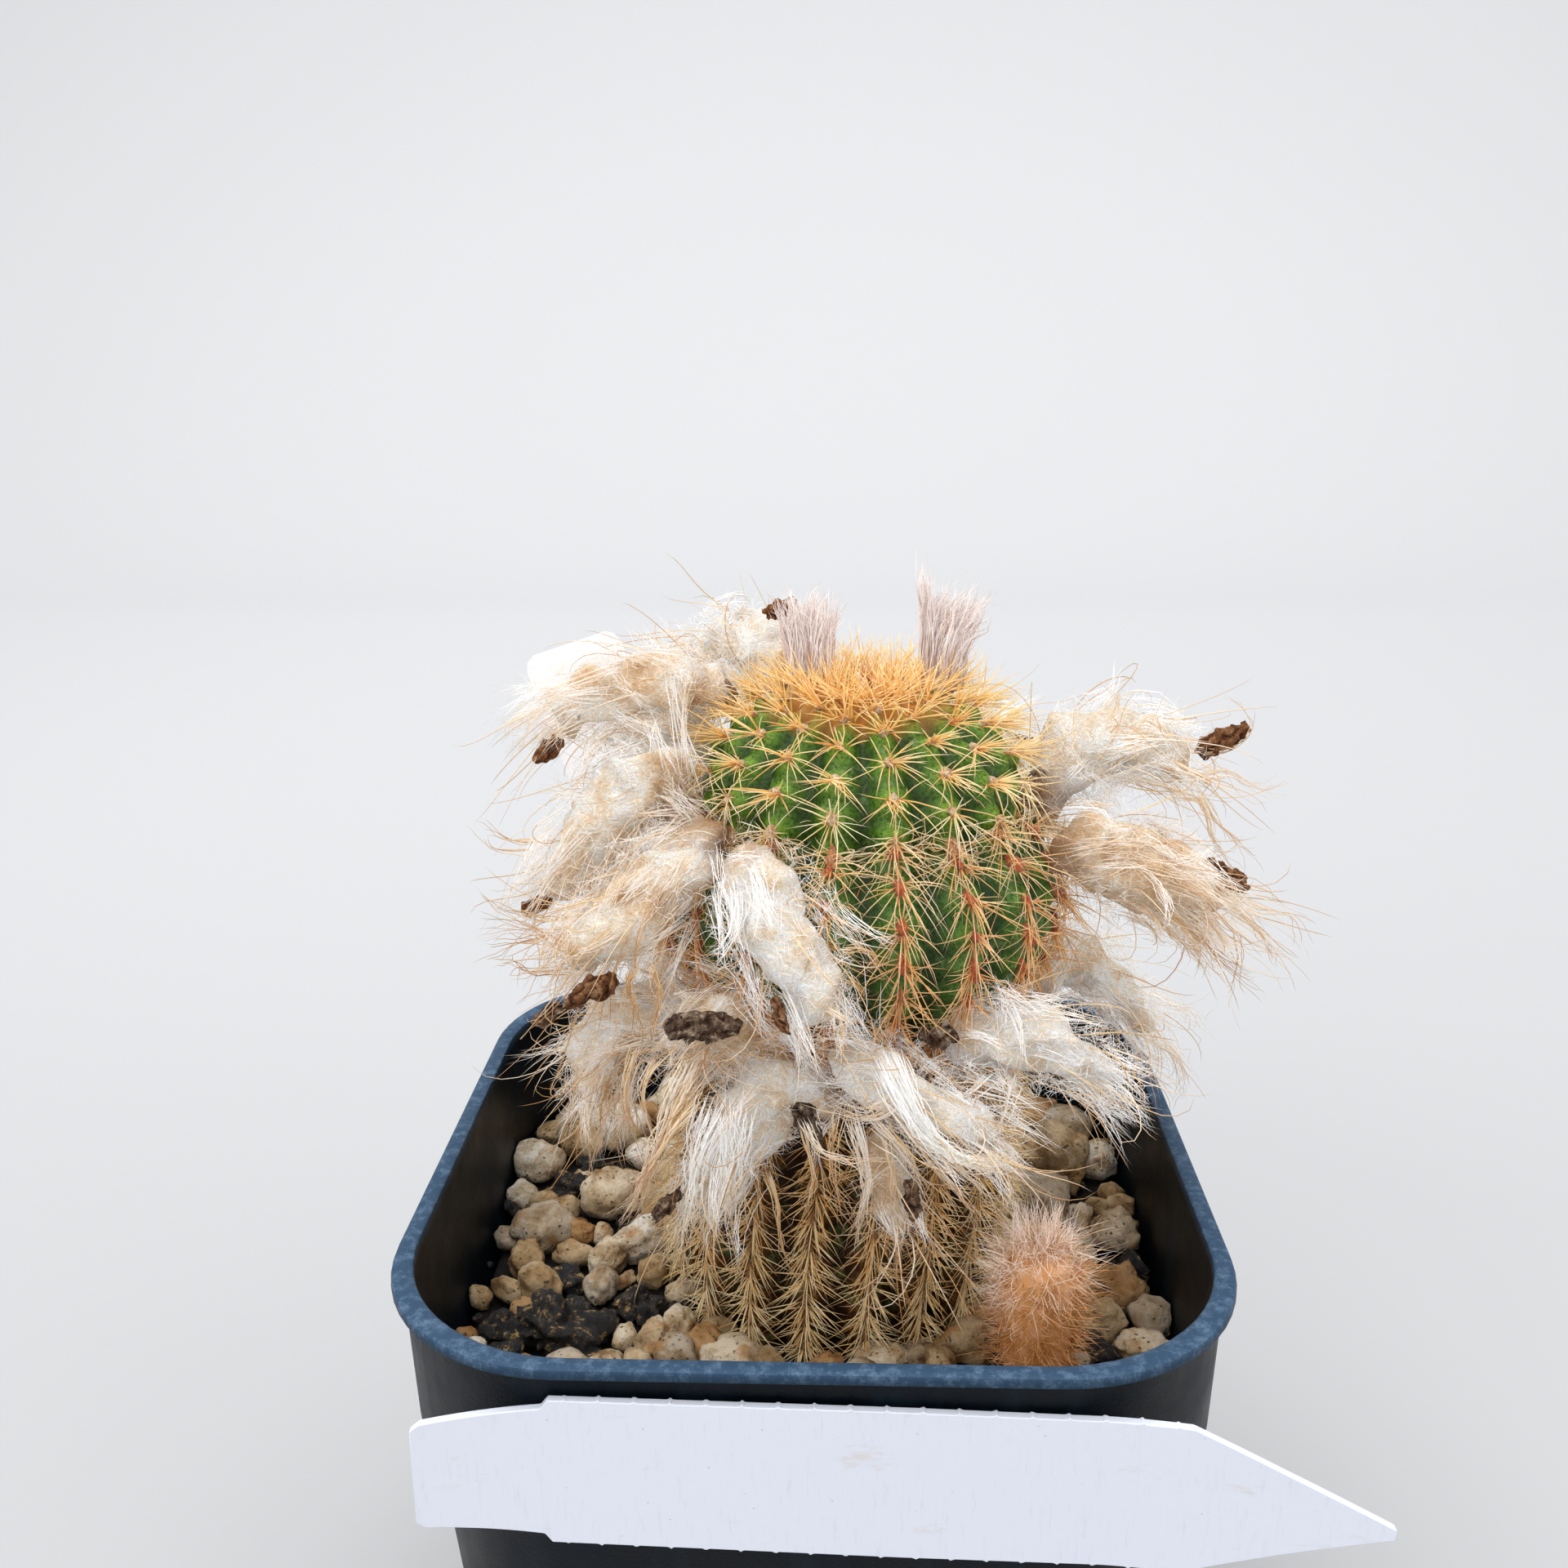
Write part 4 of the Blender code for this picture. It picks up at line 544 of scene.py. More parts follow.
def broken_lava():
    """Broken black lava: glassy and full of holes, so that single facets glint out of a dark, rough lump,
    with a golden crust in its hollows."""
    look, shader = new_look("broken lava", Roughness=0.5, IOR=1.55)
    where = add(look, "TexCoord", output="Object")
    holes = add(look, "TexVoronoi", {"Vector": where, "Scale": 1 / (0.9 * MM)}, "Distance")
    crust = add(look, "TexNoise", {"Vector": where, "Scale": 1 / (1.2 * MM), "Detail": 8.0, "Roughness": 0.8})
    base = add(look, "ValToRGB", (crust,), stops=(
        (0.35, "#0a0a0c"), (0.5, "#17171a"), (0.56, "#3c3226"), (0.61, "#c0a066"),
    ))
    lead(look, shader, base, "Base Color")
    lead(look, shader, add(look, "MapRange", (crust, 0.4, 0.7, 0.75, 0.35)), "Roughness")
    height = add(look, "Math", (holes, crust), operation="MULTIPLY")
    relief = add(look, "Bump", {"Strength": 1.0, "Distance": 1.0 * MM, "Height": height})
    lead(look, shader, relief, "Normal")
    return look


def tumbled_pumice():
    """Tumbled pumice: chalky white to tan, with painted shade in the low parts of its relief, peppered
    with open pores that are painted dark as the shade in them, and with rusty stains where iron has run.
    """
    look, shader = new_look("tumbled pumice", Roughness=0.88, IOR=1.5, Specular_IOR_Level=0.3)
    where = add(look, "TexCoord", output="Object")
    tone = add(look, "Attribute", output="Fac", attribute_name="tone")
    base = add(look, "ValToRGB", (tone,), stops=(
        (0.0, "#f2ece0"), (0.27, "#e6d6bc"), (0.5, "#c6b8a4"), (0.74, "#ccb490"), (1.0, "#c0986a"),
    ))
    cloud = add(look, "TexNoise", {
        "Vector": where, "Scale": 1 / (3.2 * MM), "Detail": 6.0, "Roughness": 0.65,
    })
    # Painted shade: darker where the cloud, which also raises the relief, is low
    shade = add(look, "ValToRGB", (cloud,), stops=((0.34, "#9c8468"), (0.47, "#e2d6c2"), (0.58, "#ffffff")))
    base = add(look, "Mix", {0: 1.0, 6: base, 7: shade}, **TIMES)
    run_down = add(look, "Mapping", {"Vector": where, "Scale": (1.0, 1.3, 0.8)})
    iron = add(look, "TexNoise", {
        "Vector": run_down, "Scale": 1 / (2.6 * MM), "Detail": 3.0, "Roughness": 0.55,
    })
    iron = add(look, "MapRange", (iron, 0.58, 0.7, 0.0, 0.75))
    base = add(look, "Mix", {0: iron, 6: base, 7: "#b8854c"}, **OVER)
    pores = add(look, "TexVoronoi", {"Vector": where, "Scale": 1 / (0.6 * MM)}, "Distance")
    sparse = add(look, "TexNoise", {
        "Vector": where, "Scale": 1 / (1.9 * MM), "Detail": 4.0, "Roughness": 0.55,
    })
    fine = add(look, "TexNoise", {"Vector": where, "Scale": 1 / (0.5 * MM), "Detail": 5.0, "Roughness": 0.75})
    pits = add(look, "MapRange", (pores, 0.14, 0.3, 1.0, 0.0))
    sparse = add(look, "MapRange", (sparse, 0.48, 0.6, 0.0, 1.0))
    pits = add(look, "Math", (pits, sparse), operation="MULTIPLY")
    # Painted shade: the open pores are coloured dark as the shade in them
    lead(look, shader, add(look, "Mix", {0: pits, 6: base, 7: "#7d6a52"}, **OVER), "Base Color")
    height = add(look, "Math", (fine, 0.8, cloud), operation="MULTIPLY_ADD")
    height = add(look, "Math", (height, pits), operation="SUBTRACT")
    relief = add(look, "Bump", {"Strength": 1.0, "Distance": 0.45 * MM, "Height": height})
    lead(look, shader, relief, "Normal")
    return look


def cactus_skin():
    """Living cactus skin: waxy mid green, mottled fine, with a faint grey bloom, golden where the crown's
    young wool covers it, and dry red-brown cork on the old stem. Dark in the furrows and pale on the
    crests: painted shade and light across the ribs."""
    look, shader = new_look("cactus skin", Roughness=0.5, IOR=1.42, Specular_IOR_Level=0.35)
    where = add(look, "TexCoord", output="Object")
    age = add(look, "Attribute", output="Fac", attribute_name="age")
    crest = add(look, "Attribute", output="Fac", attribute_name="crest")
    # Painted shade and light: each green and the cork run from dark in the furrows to pale on the crests
    young = add(look, "ValToRGB", (crest,), stops=(
        (0.0, "#26420e"), (0.3, "#406418"), (0.65, "#5c8426"), (1.0, "#84a83c"),
    ))
    older = add(look, "ValToRGB", (crest,), stops=(
        (0.0, "#1c3812"), (0.3, "#345a1e"), (0.65, "#4c7430"), (1.0, "#688e48"),
    ))
    cork = add(look, "ValToRGB", (crest,), stops=((0.0, "#1c0c05"), (0.4, "#46260f"), (1.0, "#84592c")))
    ripe = add(look, "MapRange", (age, 0.3, 0.45, 0.0, 1.0))
    corky = add(look, "MapRange", (age, 0.56, 0.68, 0.0, 1.0))
    body = add(look, "Mix", {0: ripe, 6: young, 7: older}, **OVER)
    body = add(look, "Mix", {0: corky, 6: body, 7: cork}, **OVER)
    bloom = add(look, "TexNoise", {"Vector": where, "Scale": 1 / (2 * MM), "Detail": 3.0, "Roughness": 0.55})
    bloom = add(look, "MapRange", (bloom, 0.54, 0.7, 0.0, 0.4))
    body = add(look, "Mix", {0: bloom, 6: body, 7: "#86a474"}, **OVER)
    mottle = add(look, "TexNoise", {
        "Vector": where, "Scale": 1 / (0.32 * MM), "Detail": 3.0, "Roughness": 0.7,
    })
    dark = add(look, "ValToRGB", (mottle,), stops=((0.36, "#8a9464"), (0.5, "#dce2c0"), (0.6, "#ffffff")))
    body = add(look, "Mix", {0: 1.0, 6: body, 7: dark}, **TIMES)
    golden = add(look, "MapRange", (age, 0.07, 0.115, 0.85, 0.0))
    lead(look, shader, add(look, "Mix", {0: golden, 6: body, 7: "#b87c3c"}, **OVER), "Base Color")
    relief = add(look, "Bump", {"Strength": 0.7, "Distance": 0.06 * MM, "Height": mottle})
    lead(look, shader, relief, "Normal")
    return look


def spine_horn():
    """Dry horny spines: golden at the crown, pale straw on the head, tan with rust-red roots below the
    fold, golden tan on the old stem. Light passes into them, and they glow faintly with their own
    colour, a painted glow that lifts their shaded sides."""
    look, shader = new_look(
        "amber spine", Roughness=0.45, IOR=1.55, Emission_Strength=SPINE_PAINTED_GLOW, Subsurface_Weight=0.5,
        Subsurface_Radius=(0.8 * MM, 0.5 * MM, 0.2 * MM), Subsurface_Scale=1.0,
    )
    along = add(look, "Attribute", output="Fac", attribute_name="along")
    age = add(look, "Attribute", output="Fac", attribute_name="age")
    tone = add(look, "Attribute", output="Fac", attribute_name="tone")
    shaft = add(look, "ValToRGB", (age,), stops=(
        (0.0, "#ffcc86"), (0.1, "#ffd090"), (0.2, "#ffe6b0"), (0.3, "#fcecc0"), (0.42, "#eab282"),
        (0.58, "#e8b080"), (0.7, "#f2c286"), (0.86, "#fcd8a0"), (1.0, "#fce8b8"),
    ))
    root = add(look, "ValToRGB", (age,), stops=(
        (0.0, "#f89a44"), (0.14, "#f69a44"), (0.26, "#f09048"), (0.34, "#dc6a34"), (0.5, "#c8602e"),
        (0.72, "#c07c40"), (1.0, "#cca060"),
    ))
    past_root = add(look, "MapRange", (along, 0.06, 0.38, 0.0, 1.0))
    near_tip = add(look, "MapRange", (along, 0.75, 1.0, 0.0, 0.25))
    body = add(look, "Mix", {0: past_root, 6: root, 7: shaft}, **OVER)
    body = add(look, "Mix", {0: near_tip, 6: body, 7: "#b98850"}, **OVER)
    warm = add(look, "ValToRGB", (tone,), stops=((0.0, "#d8aa78"), (0.3, "#f6e4cc"), (0.8, "#ffffff")))
    body = add(look, "Mix", {0: 1.0, 6: body, 7: warm}, **TIMES)
    lead(look, shader, body, "Base Color", "Emission Color")
    return look


def areole_felt():
    """Short felted wool in each areole: cream when new, rust-red about the fold, weathered to tan, with
    painted shade in the low parts of its fuzz.
    """
    look, shader = new_look("areole felt", Roughness=0.95, IOR=1.4, Sheen_Weight=0.2)
    where = add(look, "TexCoord", output="Object")
    age = add(look, "Attribute", output="Fac", attribute_name="age")
    base = add(look, "ValToRGB", (age,), stops=(
        (0.0, "#fff6e0"), (0.22, "#fff6e2"), (0.31, "#fae4bc"), (0.36, "#e8864c"), (0.5, "#d06a3c"),
        (0.66, "#ac7848"), (1.0, "#b89a6a"),
    ))
    fuzz = add(look, "TexNoise", {"Vector": where, "Scale": 1 / (0.25 * MM), "Detail": 5.0, "Roughness": 0.8})
    # Painted shade: darker where the fuzz, which also raises the relief, is low
    shade = add(look, "ValToRGB", (fuzz,), stops=((0.38, "#a87c50"), (0.52, "#f0dcc0"), (0.6, "#ffffff")))
    lead(look, shader, add(look, "Mix", {0: 1.0, 6: base, 7: shade}, **TIMES), "Base Color")
    relief = add(look, "Bump", {"Strength": 1.0, "Distance": 0.3 * MM, "Height": fuzz})
    lead(look, shader, relief, "Normal")
    return look


def seed_wool(name, rough):
    """A look for hair that scatters some light within itself, and glows faintly with its own colour, a
    painted glow that lifts even its shadows.
    """
    return new_look(
        name, Roughness=rough, IOR=1.45, Specular_IOR_Level=0.2, Subsurface_Weight=0.5, Subsurface_Scale=1.0,
        Subsurface_Radius=(1.2 * MM, 1.0 * MM, 0.8 * MM), Emission_Strength=WOOL_PAINTED_GLOW,
    )


def wool_patches(look, where, tone):
    """Seed wool's colour in patches: tan where it is stained or thin, then cream, and white where thick."""
    patches = add(look, "TexNoise", {
        "Vector": where, "Scale": 1 / (3.6 * MM), "Detail": 3.0, "Roughness": 0.6,
    })
    swing = add(look, "MapRange", (patches, 0.3, 0.7, -0.35, 0.3))
    share = add(look, "Math", (tone, swing), operation="ADD")
    return add(look, "ValToRGB", (share,), stops=(
        (0.0, "#cfa577"), (0.2, "#e8ccaa"), (0.4, "#f8e8d4"), (0.6, "#fefaf4"), (0.75, "#ffffff"),
    ))


def felted_wool():
    """The mat of seed wool under the loose hair: crossing ridges of crimped fibre, with painted shade in
    cream and tan in the hollows between them. The ridges are drawn coarser than the real 0.03 mm hair so
    that they show."""
    look, shader = seed_wool("felted seed wool", 0.9)
    where = add(look, "TexCoord", output="Object")
    tone = add(look, "Attribute", output="Fac", attribute_name="tone")
    along = add(look, "Attribute", output="Fac", attribute_name="along")
    base = wool_patches(look, where, tone)
    fibres = add(look, "TexNoise", {
        "Vector": where, "Scale": 1 / (0.8 * MM), "Detail": 5.0, "Roughness": 0.75,
        "Distortion": 1.8, "Offset": 1.0,
    }, noise_type="RIDGED_MULTIFRACTAL")
    ridge = add(look, "MapRange", (fibres, 0.7, 1.9, 0.0, 1.0))
    # Painted shade: cream and tan in the hollows between the ridges, white on them
    hollow_shade = add(look, "ValToRGB", (ridge,), stops=((0.0, "#d4bc9a"), (0.35, "#f6ecdc"), (0.6, "#ffffff")))
    body = add(look, "Mix", {0: 0.5, 6: base, 7: hollow_shade}, **TIMES)
    neck = add(look, "MapRange", (along, 0.1, 0.24, 0.9, 0.0))
    body = add(look, "Mix", {0: neck, 6: body, 7: "#8c6038"}, **OVER)
    lead(look, shader, body, "Base Color", "Emission Color")
    relief = add(look, "Bump", {"Strength": 1.0, "Distance": 0.35 * MM, "Height": fibres})
    lead(look, shader, relief, "Normal")
    return look


def loose_wool():
    """Loose seed wool: fine hollow hairs, white where they are thick and cream or tan where they are thin or
    stained, and brown at a fruit's neck. Drawn coarser than the real 0.03 mm hair so that they show."""
    look, shader = seed_wool("loose seed wool", 0.7)
    where = add(look, "TexCoord", output="Object")
    along = add(look, "Attribute", output="Fac", attribute_name="along")
    tone = add(look, "Attribute", output="Fac", attribute_name="tone")
    age = add(look, "Attribute", output="Fac", attribute_name="age")
    base = wool_patches(look, where, tone)
    near_tip = add(look, "MapRange", (along, 0.7, 1.0, 0.0, 0.25))
    base = add(look, "Mix", {0: near_tip, 6: base, 7: "#eccba0"}, **OVER)
    neck = add(look, "MapRange", (age, 0.0, 1.0, 0.0, 0.8))
    body = add(look, "Mix", {0: neck, 6: base, 7: "#a87440"}, **OVER)
    lead(look, shader, body, "Base Color", "Emission Color")
    return look


def fruit_bristle():
    """Long wiry bristles of a dried fruit: cream or straw at the root, tan along the shaft, brown at the
    curled tip. They glow faintly with their own colour, a painted glow as on the wool, most on the whitest."""
    look, shader = seed_wool("fruit bristle", 0.5)
    tone = add(look, "Attribute", output="Fac", attribute_name="tone")
    along = add(look, "Attribute", output="Fac", attribute_name="along")
    base = add(look, "ValToRGB", (along,), stops=(
        (0.0, "#fae6c0"), (0.4, "#e8c48e"), (0.8, "#c89660"), (1.0, "#8c5a36"),
    ))
    pale = add(look, "ValToRGB", (along,), stops=((0.0, "#ffffff"), (0.6, "#fffcf4"), (1.0, "#ecd2aa")))
    whiteness = add(look, "MapRange", (tone, 0.3, 0.85, 0.0, 1.0))
    body = add(look, "Mix", {0: whiteness, 6: base, 7: pale}, **OVER)
    warm = add(look, "ValToRGB", (tone,), stops=((0.0, "#b4865a"), (0.3, "#f4e2c8"), (0.7, "#ffffff")))
    body = add(look, "Mix", {0: 1.0, 6: body, 7: warm}, **TIMES)
    lead(look, shader, body, "Base Color", "Emission Color")
    return look


def young_wool():
    """Fresh hairs of a young fruit: silky pinkish white, with brown points."""
    look, shader = seed_wool("silky young hair", 0.5)
    tone = add(look, "Attribute", output="Fac", attribute_name="tone")
    along = add(look, "Attribute", output="Fac", attribute_name="along")
    base = add(look, "ValToRGB", (along,), stops=(
        (0.0, "#f2e0d4"), (0.35, "#fffaf8"), (0.8, "#fdf2ee"), (1.0, "#b08c72"),
    ))
    warm = add(look, "ValToRGB", (tone,), stops=((0.0, "#a48a7e"), (0.3, "#f0e2dc"), (0.5, "#ffffff")))
    body = add(look, "Mix", {0: 1.0, 6: base, 7: warm}, **TIMES)
    lead(look, shader, body, "Base Color", "Emission Color")
    return look


def withered_petals():
    """A withered flower: petals dried to a brittle, furrowed twist, ash grey to red brown, with pale
    cracks and painted shade in the furrows."""
    look, shader = new_look("withered petals", Roughness=0.9, IOR=1.45, Specular_IOR_Level=0.2)
    where = add(look, "TexCoord", output="Object")
    furrow = add(look, "Attribute", output="Fac", attribute_name="furrow")
    tone = add(look, "Attribute", output="Fac", attribute_name="tone")
    patches = add(look, "TexNoise", {
        "Vector": where, "Scale": 1 / (0.8 * MM), "Detail": 7.0, "Roughness": 0.8,
    })
    grey = add(look, "ValToRGB", (patches,), stops=(
        (0.36, "#2a211b"), (0.49, "#66564a"), (0.57, "#9c8a76"), (0.66, "#e6dcc8"),
    ))
    red = add(look, "ValToRGB", (patches,), stops=(
        (0.36, "#4c2a15"), (0.49, "#90592f"), (0.6, "#b47c4c"), (0.7, "#deb88c"),
    ))
    base = add(look, "Mix", {0: tone, 6: grey, 7: red}, **OVER)
    # Painted shade: darker in the furrows of the twist
    dark = add(look, "ValToRGB", (furrow,), stops=((0.0, "#8a6c54"), (0.6, "#ffffff")))
    lead(look, shader, add(look, "Mix", {0: 1.0, 6: base, 7: dark}, **TIMES), "Base Color")
    relief = add(look, "Bump", {"Strength": 1.0, "Distance": 0.6 * MM, "Height": patches})
    lead(look, shader, relief, "Normal")
    return look


def offset_hair():
    """Dense short hair of the offset: golden brown at its foot, orange tan above, washed pinkish white at the
    tips and towards the top, and paler on the side towards the overhead light, which is painted light.
    Painted shade darkens it deep down at the roots of its hairs, and it glows faintly with its own
    colour, a painted glow."""
    look, shader = new_look("offset hair", Roughness=0.6, IOR=1.5, Emission_Strength=SPINE_PAINTED_GLOW)
    where = add(look, "TexCoord", output="Object")
    tone = add(look, "Attribute", output="Fac", attribute_name="tone")
    age = add(look, "Attribute", output="Fac", attribute_name="age")
    along = add(look, "Attribute", output="Fac", attribute_name="along")
    patches = add(look, "TexNoise", {
        "Vector": where, "Scale": 1 / (2.2 * MM), "Detail": 4.0, "Roughness": 0.55,
    })
    height = add(look, "Math", (patches, 1.2, age), operation="MULTIPLY_ADD")
    share = add(look, "MapRange", (height, 0.4, 1.4, 0.0, 1.0))
    base = add(look, "ValToRGB", (share,), stops=(
        (0.0, "#b98a4c"), (0.22, "#d49e66"), (0.45, "#eac6a6"), (0.75, "#fff4ee"),
    ))
    # Painted shade: darker towards the roots, deep in the fuzz
    root_shade = add(look, "ValToRGB", (along,), stops=((0.0, "#d4ae80"), (0.35, "#f6e8d8"), (0.7, "#ffffff")))
    warm = add(look, "ValToRGB", (tone,), stops=((0.0, "#e0c8a8"), (0.4, "#faf2e8"), (1.0, "#ffffff")))
    body = add(look, "Mix", {0: 1.0, 6: base, 7: root_shade}, **TIMES)
    body = add(look, "Mix", {0: 1.0, 6: body, 7: warm}, **TIMES)
    lead(look, shader, body, "Base Color", "Emission Color")
    return look


def cut_vinyl(name, plain, rubbed):
    """Die-cut rigid vinyl label, satin: faint rubbed streaks across it and a brownish smear."""
    look, shader = new_look(name, Roughness=0.38, IOR=1.53)
    where = add(look, "TexCoord", output="Object")
    upright = add(look, "Mapping", {"Vector": where, "Scale": (3.0, 3.0, 0.35)})
    flat = add(look, "Mapping", {"Vector": where, "Scale": (0.6, 1.0, 2.0)})
    rubs = add(look, "TexNoise", {
        "Vector": upright, "Scale": 1 / (1.1 * MM), "Detail": 6.0, "Roughness": 0.7,
    })
    smear = add(look, "TexNoise", {"Vector": flat, "Scale": 1 / (6 * MM), "Detail": 8.0, "Roughness": 0.75})
    specks = add(look, "TexVoronoi", {"Vector": where, "Scale": 1 / (1.7 * MM)}, "Distance")
    grain = add(look, "TexNoise", {
        "Vector": where, "Scale": 1 / (0.8 * MM), "Detail": 3.0, "Roughness": 0.55,
    })
    rubs = add(look, "MapRange", (rubs, 0.56, 0.76, 0.0, 0.3))
    smear = add(look, "MapRange", (smear, 0.6, 0.7, 0.0, 0.4))
    specks = add(look, "MapRange", (specks, 0.03, 0.06, 0.5, 0.0))
    base = add(look, "Mix", {0: rubs, 6: plain, 7: rubbed}, **OVER)
    base = add(look, "Mix", {0: smear, 6: base, 7: "#c4b494"}, **OVER)
    base = add(look, "Mix", {0: specks, 6: base, 7: "#8b7d66"}, **OVER)
    lead(look, shader, base, "Base Color")
    relief = add(look, "Bump", {"Strength": 0.5, "Distance": 0.03 * MM, "Height": grain})
    lead(look, shader, relief, "Normal")
    return look


def studio_card():
    """Matt pale card, painted darker underfoot, where the overhead light falls stronger, and graded to a
    lighter grey on the wall behind, so that floor and wall come out the same tone.
    """
    look, shader = new_look("studio card", Roughness=0.95, Specular_IOR_Level=0.1)
    where = add(look, "TexCoord", output="Object")
    depth = add(look, "SeparateXYZ", (where,), "Y")
    share = add(look, "MapRange", (depth, 0.1, 1.1, 0.0, 1.0))
    # Painted shade: darker on the floor near the pot, where more light falls
    base = add(look, "ValToRGB", (share,), stops=((0.0, "#b5b6b8"), (0.55, "#cccdcf"), (1.0, "#cfd0d2")))
    lead(look, shader, base, "Base Color")
    return look


# Pieces

def piece(name, mesh, look, replaced=(), angle=None):
    """An object of the scene that rides on the part, with its finish and the CAD nodes that it stands for."""
    obj = bpy.data.objects.new(name, mesh)
    bpy.context.scene.collection.objects.link(obj)
    mesh.materials.clear()
    mesh.materials.append(look)
    mesh.shade_smooth()
    if angle:
        mesh.set_sharp_from_angle(angle=math.radians(angle))
    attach(obj, "root")
    if replaced:
        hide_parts(*replaced)
    return obj


def mesh_of(bm, name):
    """The finished mesh of a bmesh, with its faces outwards."""
    bmesh.ops.recalc_face_normals(bm, faces=bm.faces)
    mesh = bpy.data.meshes.new(name)
    bm.to_mesh(mesh)
    bm.free()
    return mesh


def set_values(mesh, name, values):
    """A number on each vertex, for the materials to read."""
    mesh.attributes.new(name, "FLOAT", "POINT").data.foreach_set("value", values)


def strands(name, lines, sides=3):
    """One mesh of tapered tubes. Each line is its points, their radii, a tone and an age. The ends have no
    radius, so that they weld to closed points."""
    section = bpy.data.curves.new("section", "CURVE")
    section.dimensions = "3D"
    ring = section.splines.new("POLY")
    ring.points.add(sides - 1)
    ring.use_cyclic_u = True
    for index, corner in enumerate(ring.points):
        turn = index * math.tau / sides
        corner.co = (math.cos(turn), math.sin(turn), 0, 1)
    curve = bpy.data.curves.new(name, "CURVE")
    curve.dimensions = "3D"
    curve.bevel_mode = "OBJECT"
    curve.bevel_object = bpy.data.objects.new("section", section)
    along, tones, ages = [], [], []
    for points, radii, tone, age in lines:
        line = curve.splines.new("POLY")
        line.points.add(len(points) - 1)
        line.points.foreach_set("co", [number for place in points for number in (*place, 1.0)])
        line.points.foreach_set("radius", radii)
        for index in range(len(points)):
            along += [index / (len(points) - 1)] * sides
        tones += [tone] * sides * len(points)
        ages += [age] * sides * len(points)
    holder = bpy.data.objects.new(name, curve)
    bpy.context.scene.collection.objects.link(holder)
    bpy.context.scene.collection.objects.link(curve.bevel_object)
    graph = bpy.context.evaluated_depsgraph_get()
    tubes = bpy.data.meshes.new_from_object(holder.evaluated_get(graph))
    bpy.data.objects.remove(curve.bevel_object)
    bpy.data.objects.remove(holder)
    for label, values in (("along", along), ("tone", tones), ("age", ages)):
        set_values(tubes, label, values)
    bm = bmesh.new()
    bm.from_mesh(tubes)
    bmesh.ops.remove_doubles(bm, verts=bm.verts, dist=1e-8)
    bm.to_mesh(tubes)
    bm.free()
    return tubes


def tapered(count, radius, root=0.75, tip=0.3):
    """Radii of a strand: closed at the root, full soon after it, thinner to a closed tip."""
    full = [radius * (1 + (tip - 1) * max(0.0, i / (count - 1)) ** 1.4) for i in range(count)]
    full[0], full[-1] = 0.0, 0.0
    full[1] *= root
    return full


# Pot

def extruded(bm, ring, half, z, rim=0.0):
    """Extrudes a ring of edges to another half width and height, and returns the new ring."""
    layer = bm.verts.layers.float["rim"]
    made = bmesh.ops.extrude_edge_only(bm, edges=ring)["geom"]
    verts = [g for g in made if isinstance(g, bmesh.types.BMVert)]
    now = max(abs(v.co.x) for v in verts)
    bmesh.ops.scale(bm, verts=verts, vec=(half / now, half / now, 1))
    bmesh.ops.translate(bm, verts=verts, vec=(0, 0, z - verts[0].co.z))
    for vert in verts:
        vert[layer] = rim
    return [g for g in made if isinstance(g, bmesh.types.BMEdge)]


def make_pot(look):
    """The pot, drawn up from its underside, over the rim and down the inside, with four drain holes."""
    bm = bmesh.new()
    bm.verts.layers.float.new("rim")
    sole = FOOT_HALF - FOOT_EDGE
    bmesh.ops.create_grid(bm, x_segments=1, y_segments=1, size=sole)
    bmesh.ops.bevel(
        bm, geom=bm.verts[:], offset=sole * CORNER_SHARE, affect="VERTICES",
        segments=14, profile=0.5, material=-1,
    )
    ring = bm.edges[:]
    inner = BAND_HALF - WALL
    lip = RIM_HALF - 0.45 * MM
    # The last number of each level is its share of the rim's painted highlight: 1 on the rim's top, less down
    # its edges, 0 on the walls
    levels = (
        (FOOT_HALF, FOOT_EDGE, 0.0), (STEP_LOW_HALF - 0.05 * MM, STEP_LOW - 0.6 * MM, 0.0),
        (STEP_LOW_HALF + 0.05 * MM, STEP_LOW, 0.0), (STEP_TOP_HALF - 0.1 * MM, STEP_TOP, 0.0),
        (STEP_TOP_HALF, STEP_TOP + 0.6 * MM, 0.0), (BAND_HALF, POT_HEIGHT - RIM_BAND - 0.3 * MM, 0.0),
        (BAND_HALF + 0.12 * MM, POT_HEIGHT - RIM_BAND, 0.1),
        (RIM_HALF - 0.2 * MM, POT_HEIGHT - RIM_BAND, 0.3),
        (RIM_HALF, POT_HEIGHT - RIM_BAND + 0.2 * MM, 0.5), (RIM_HALF, POT_HEIGHT - 0.45 * MM, 0.7),
        (RIM_HALF - 0.13 * MM, POT_HEIGHT - 0.13 * MM, 1.0), (lip, POT_HEIGHT, 1.0),
        (inner + 0.35 * MM, POT_HEIGHT, 1.0), (inner + 0.1 * MM, POT_HEIGHT - 0.12 * MM, 0.8),
        (inner, POT_HEIGHT - 0.45 * MM, 0.3), (inner - 0.02 * MM, POT_HEIGHT - 1.2 * MM, 0.0),
        (STEP_TOP_HALF - WALL, STEP_TOP + WALL, 0.0), (STEP_LOW_HALF - WALL, STEP_LOW + WALL, 0.0),
        (FOOT_HALF - WALL, FLOOR, 0.0),
    )
    for half, z, rim in levels:
        ring = extruded(bm, ring, half, z, rim)
    bmesh.ops.edgeloop_fill(bm, edges=ring)
    pot = piece("nursery_pot", mesh_of(bm, "nursery_pot"), look, ["pot"])
    cut_drains(pot)
    pot.data.shade_smooth()
    pot.data.set_sharp_from_angle(angle=math.radians(38))
    return pot


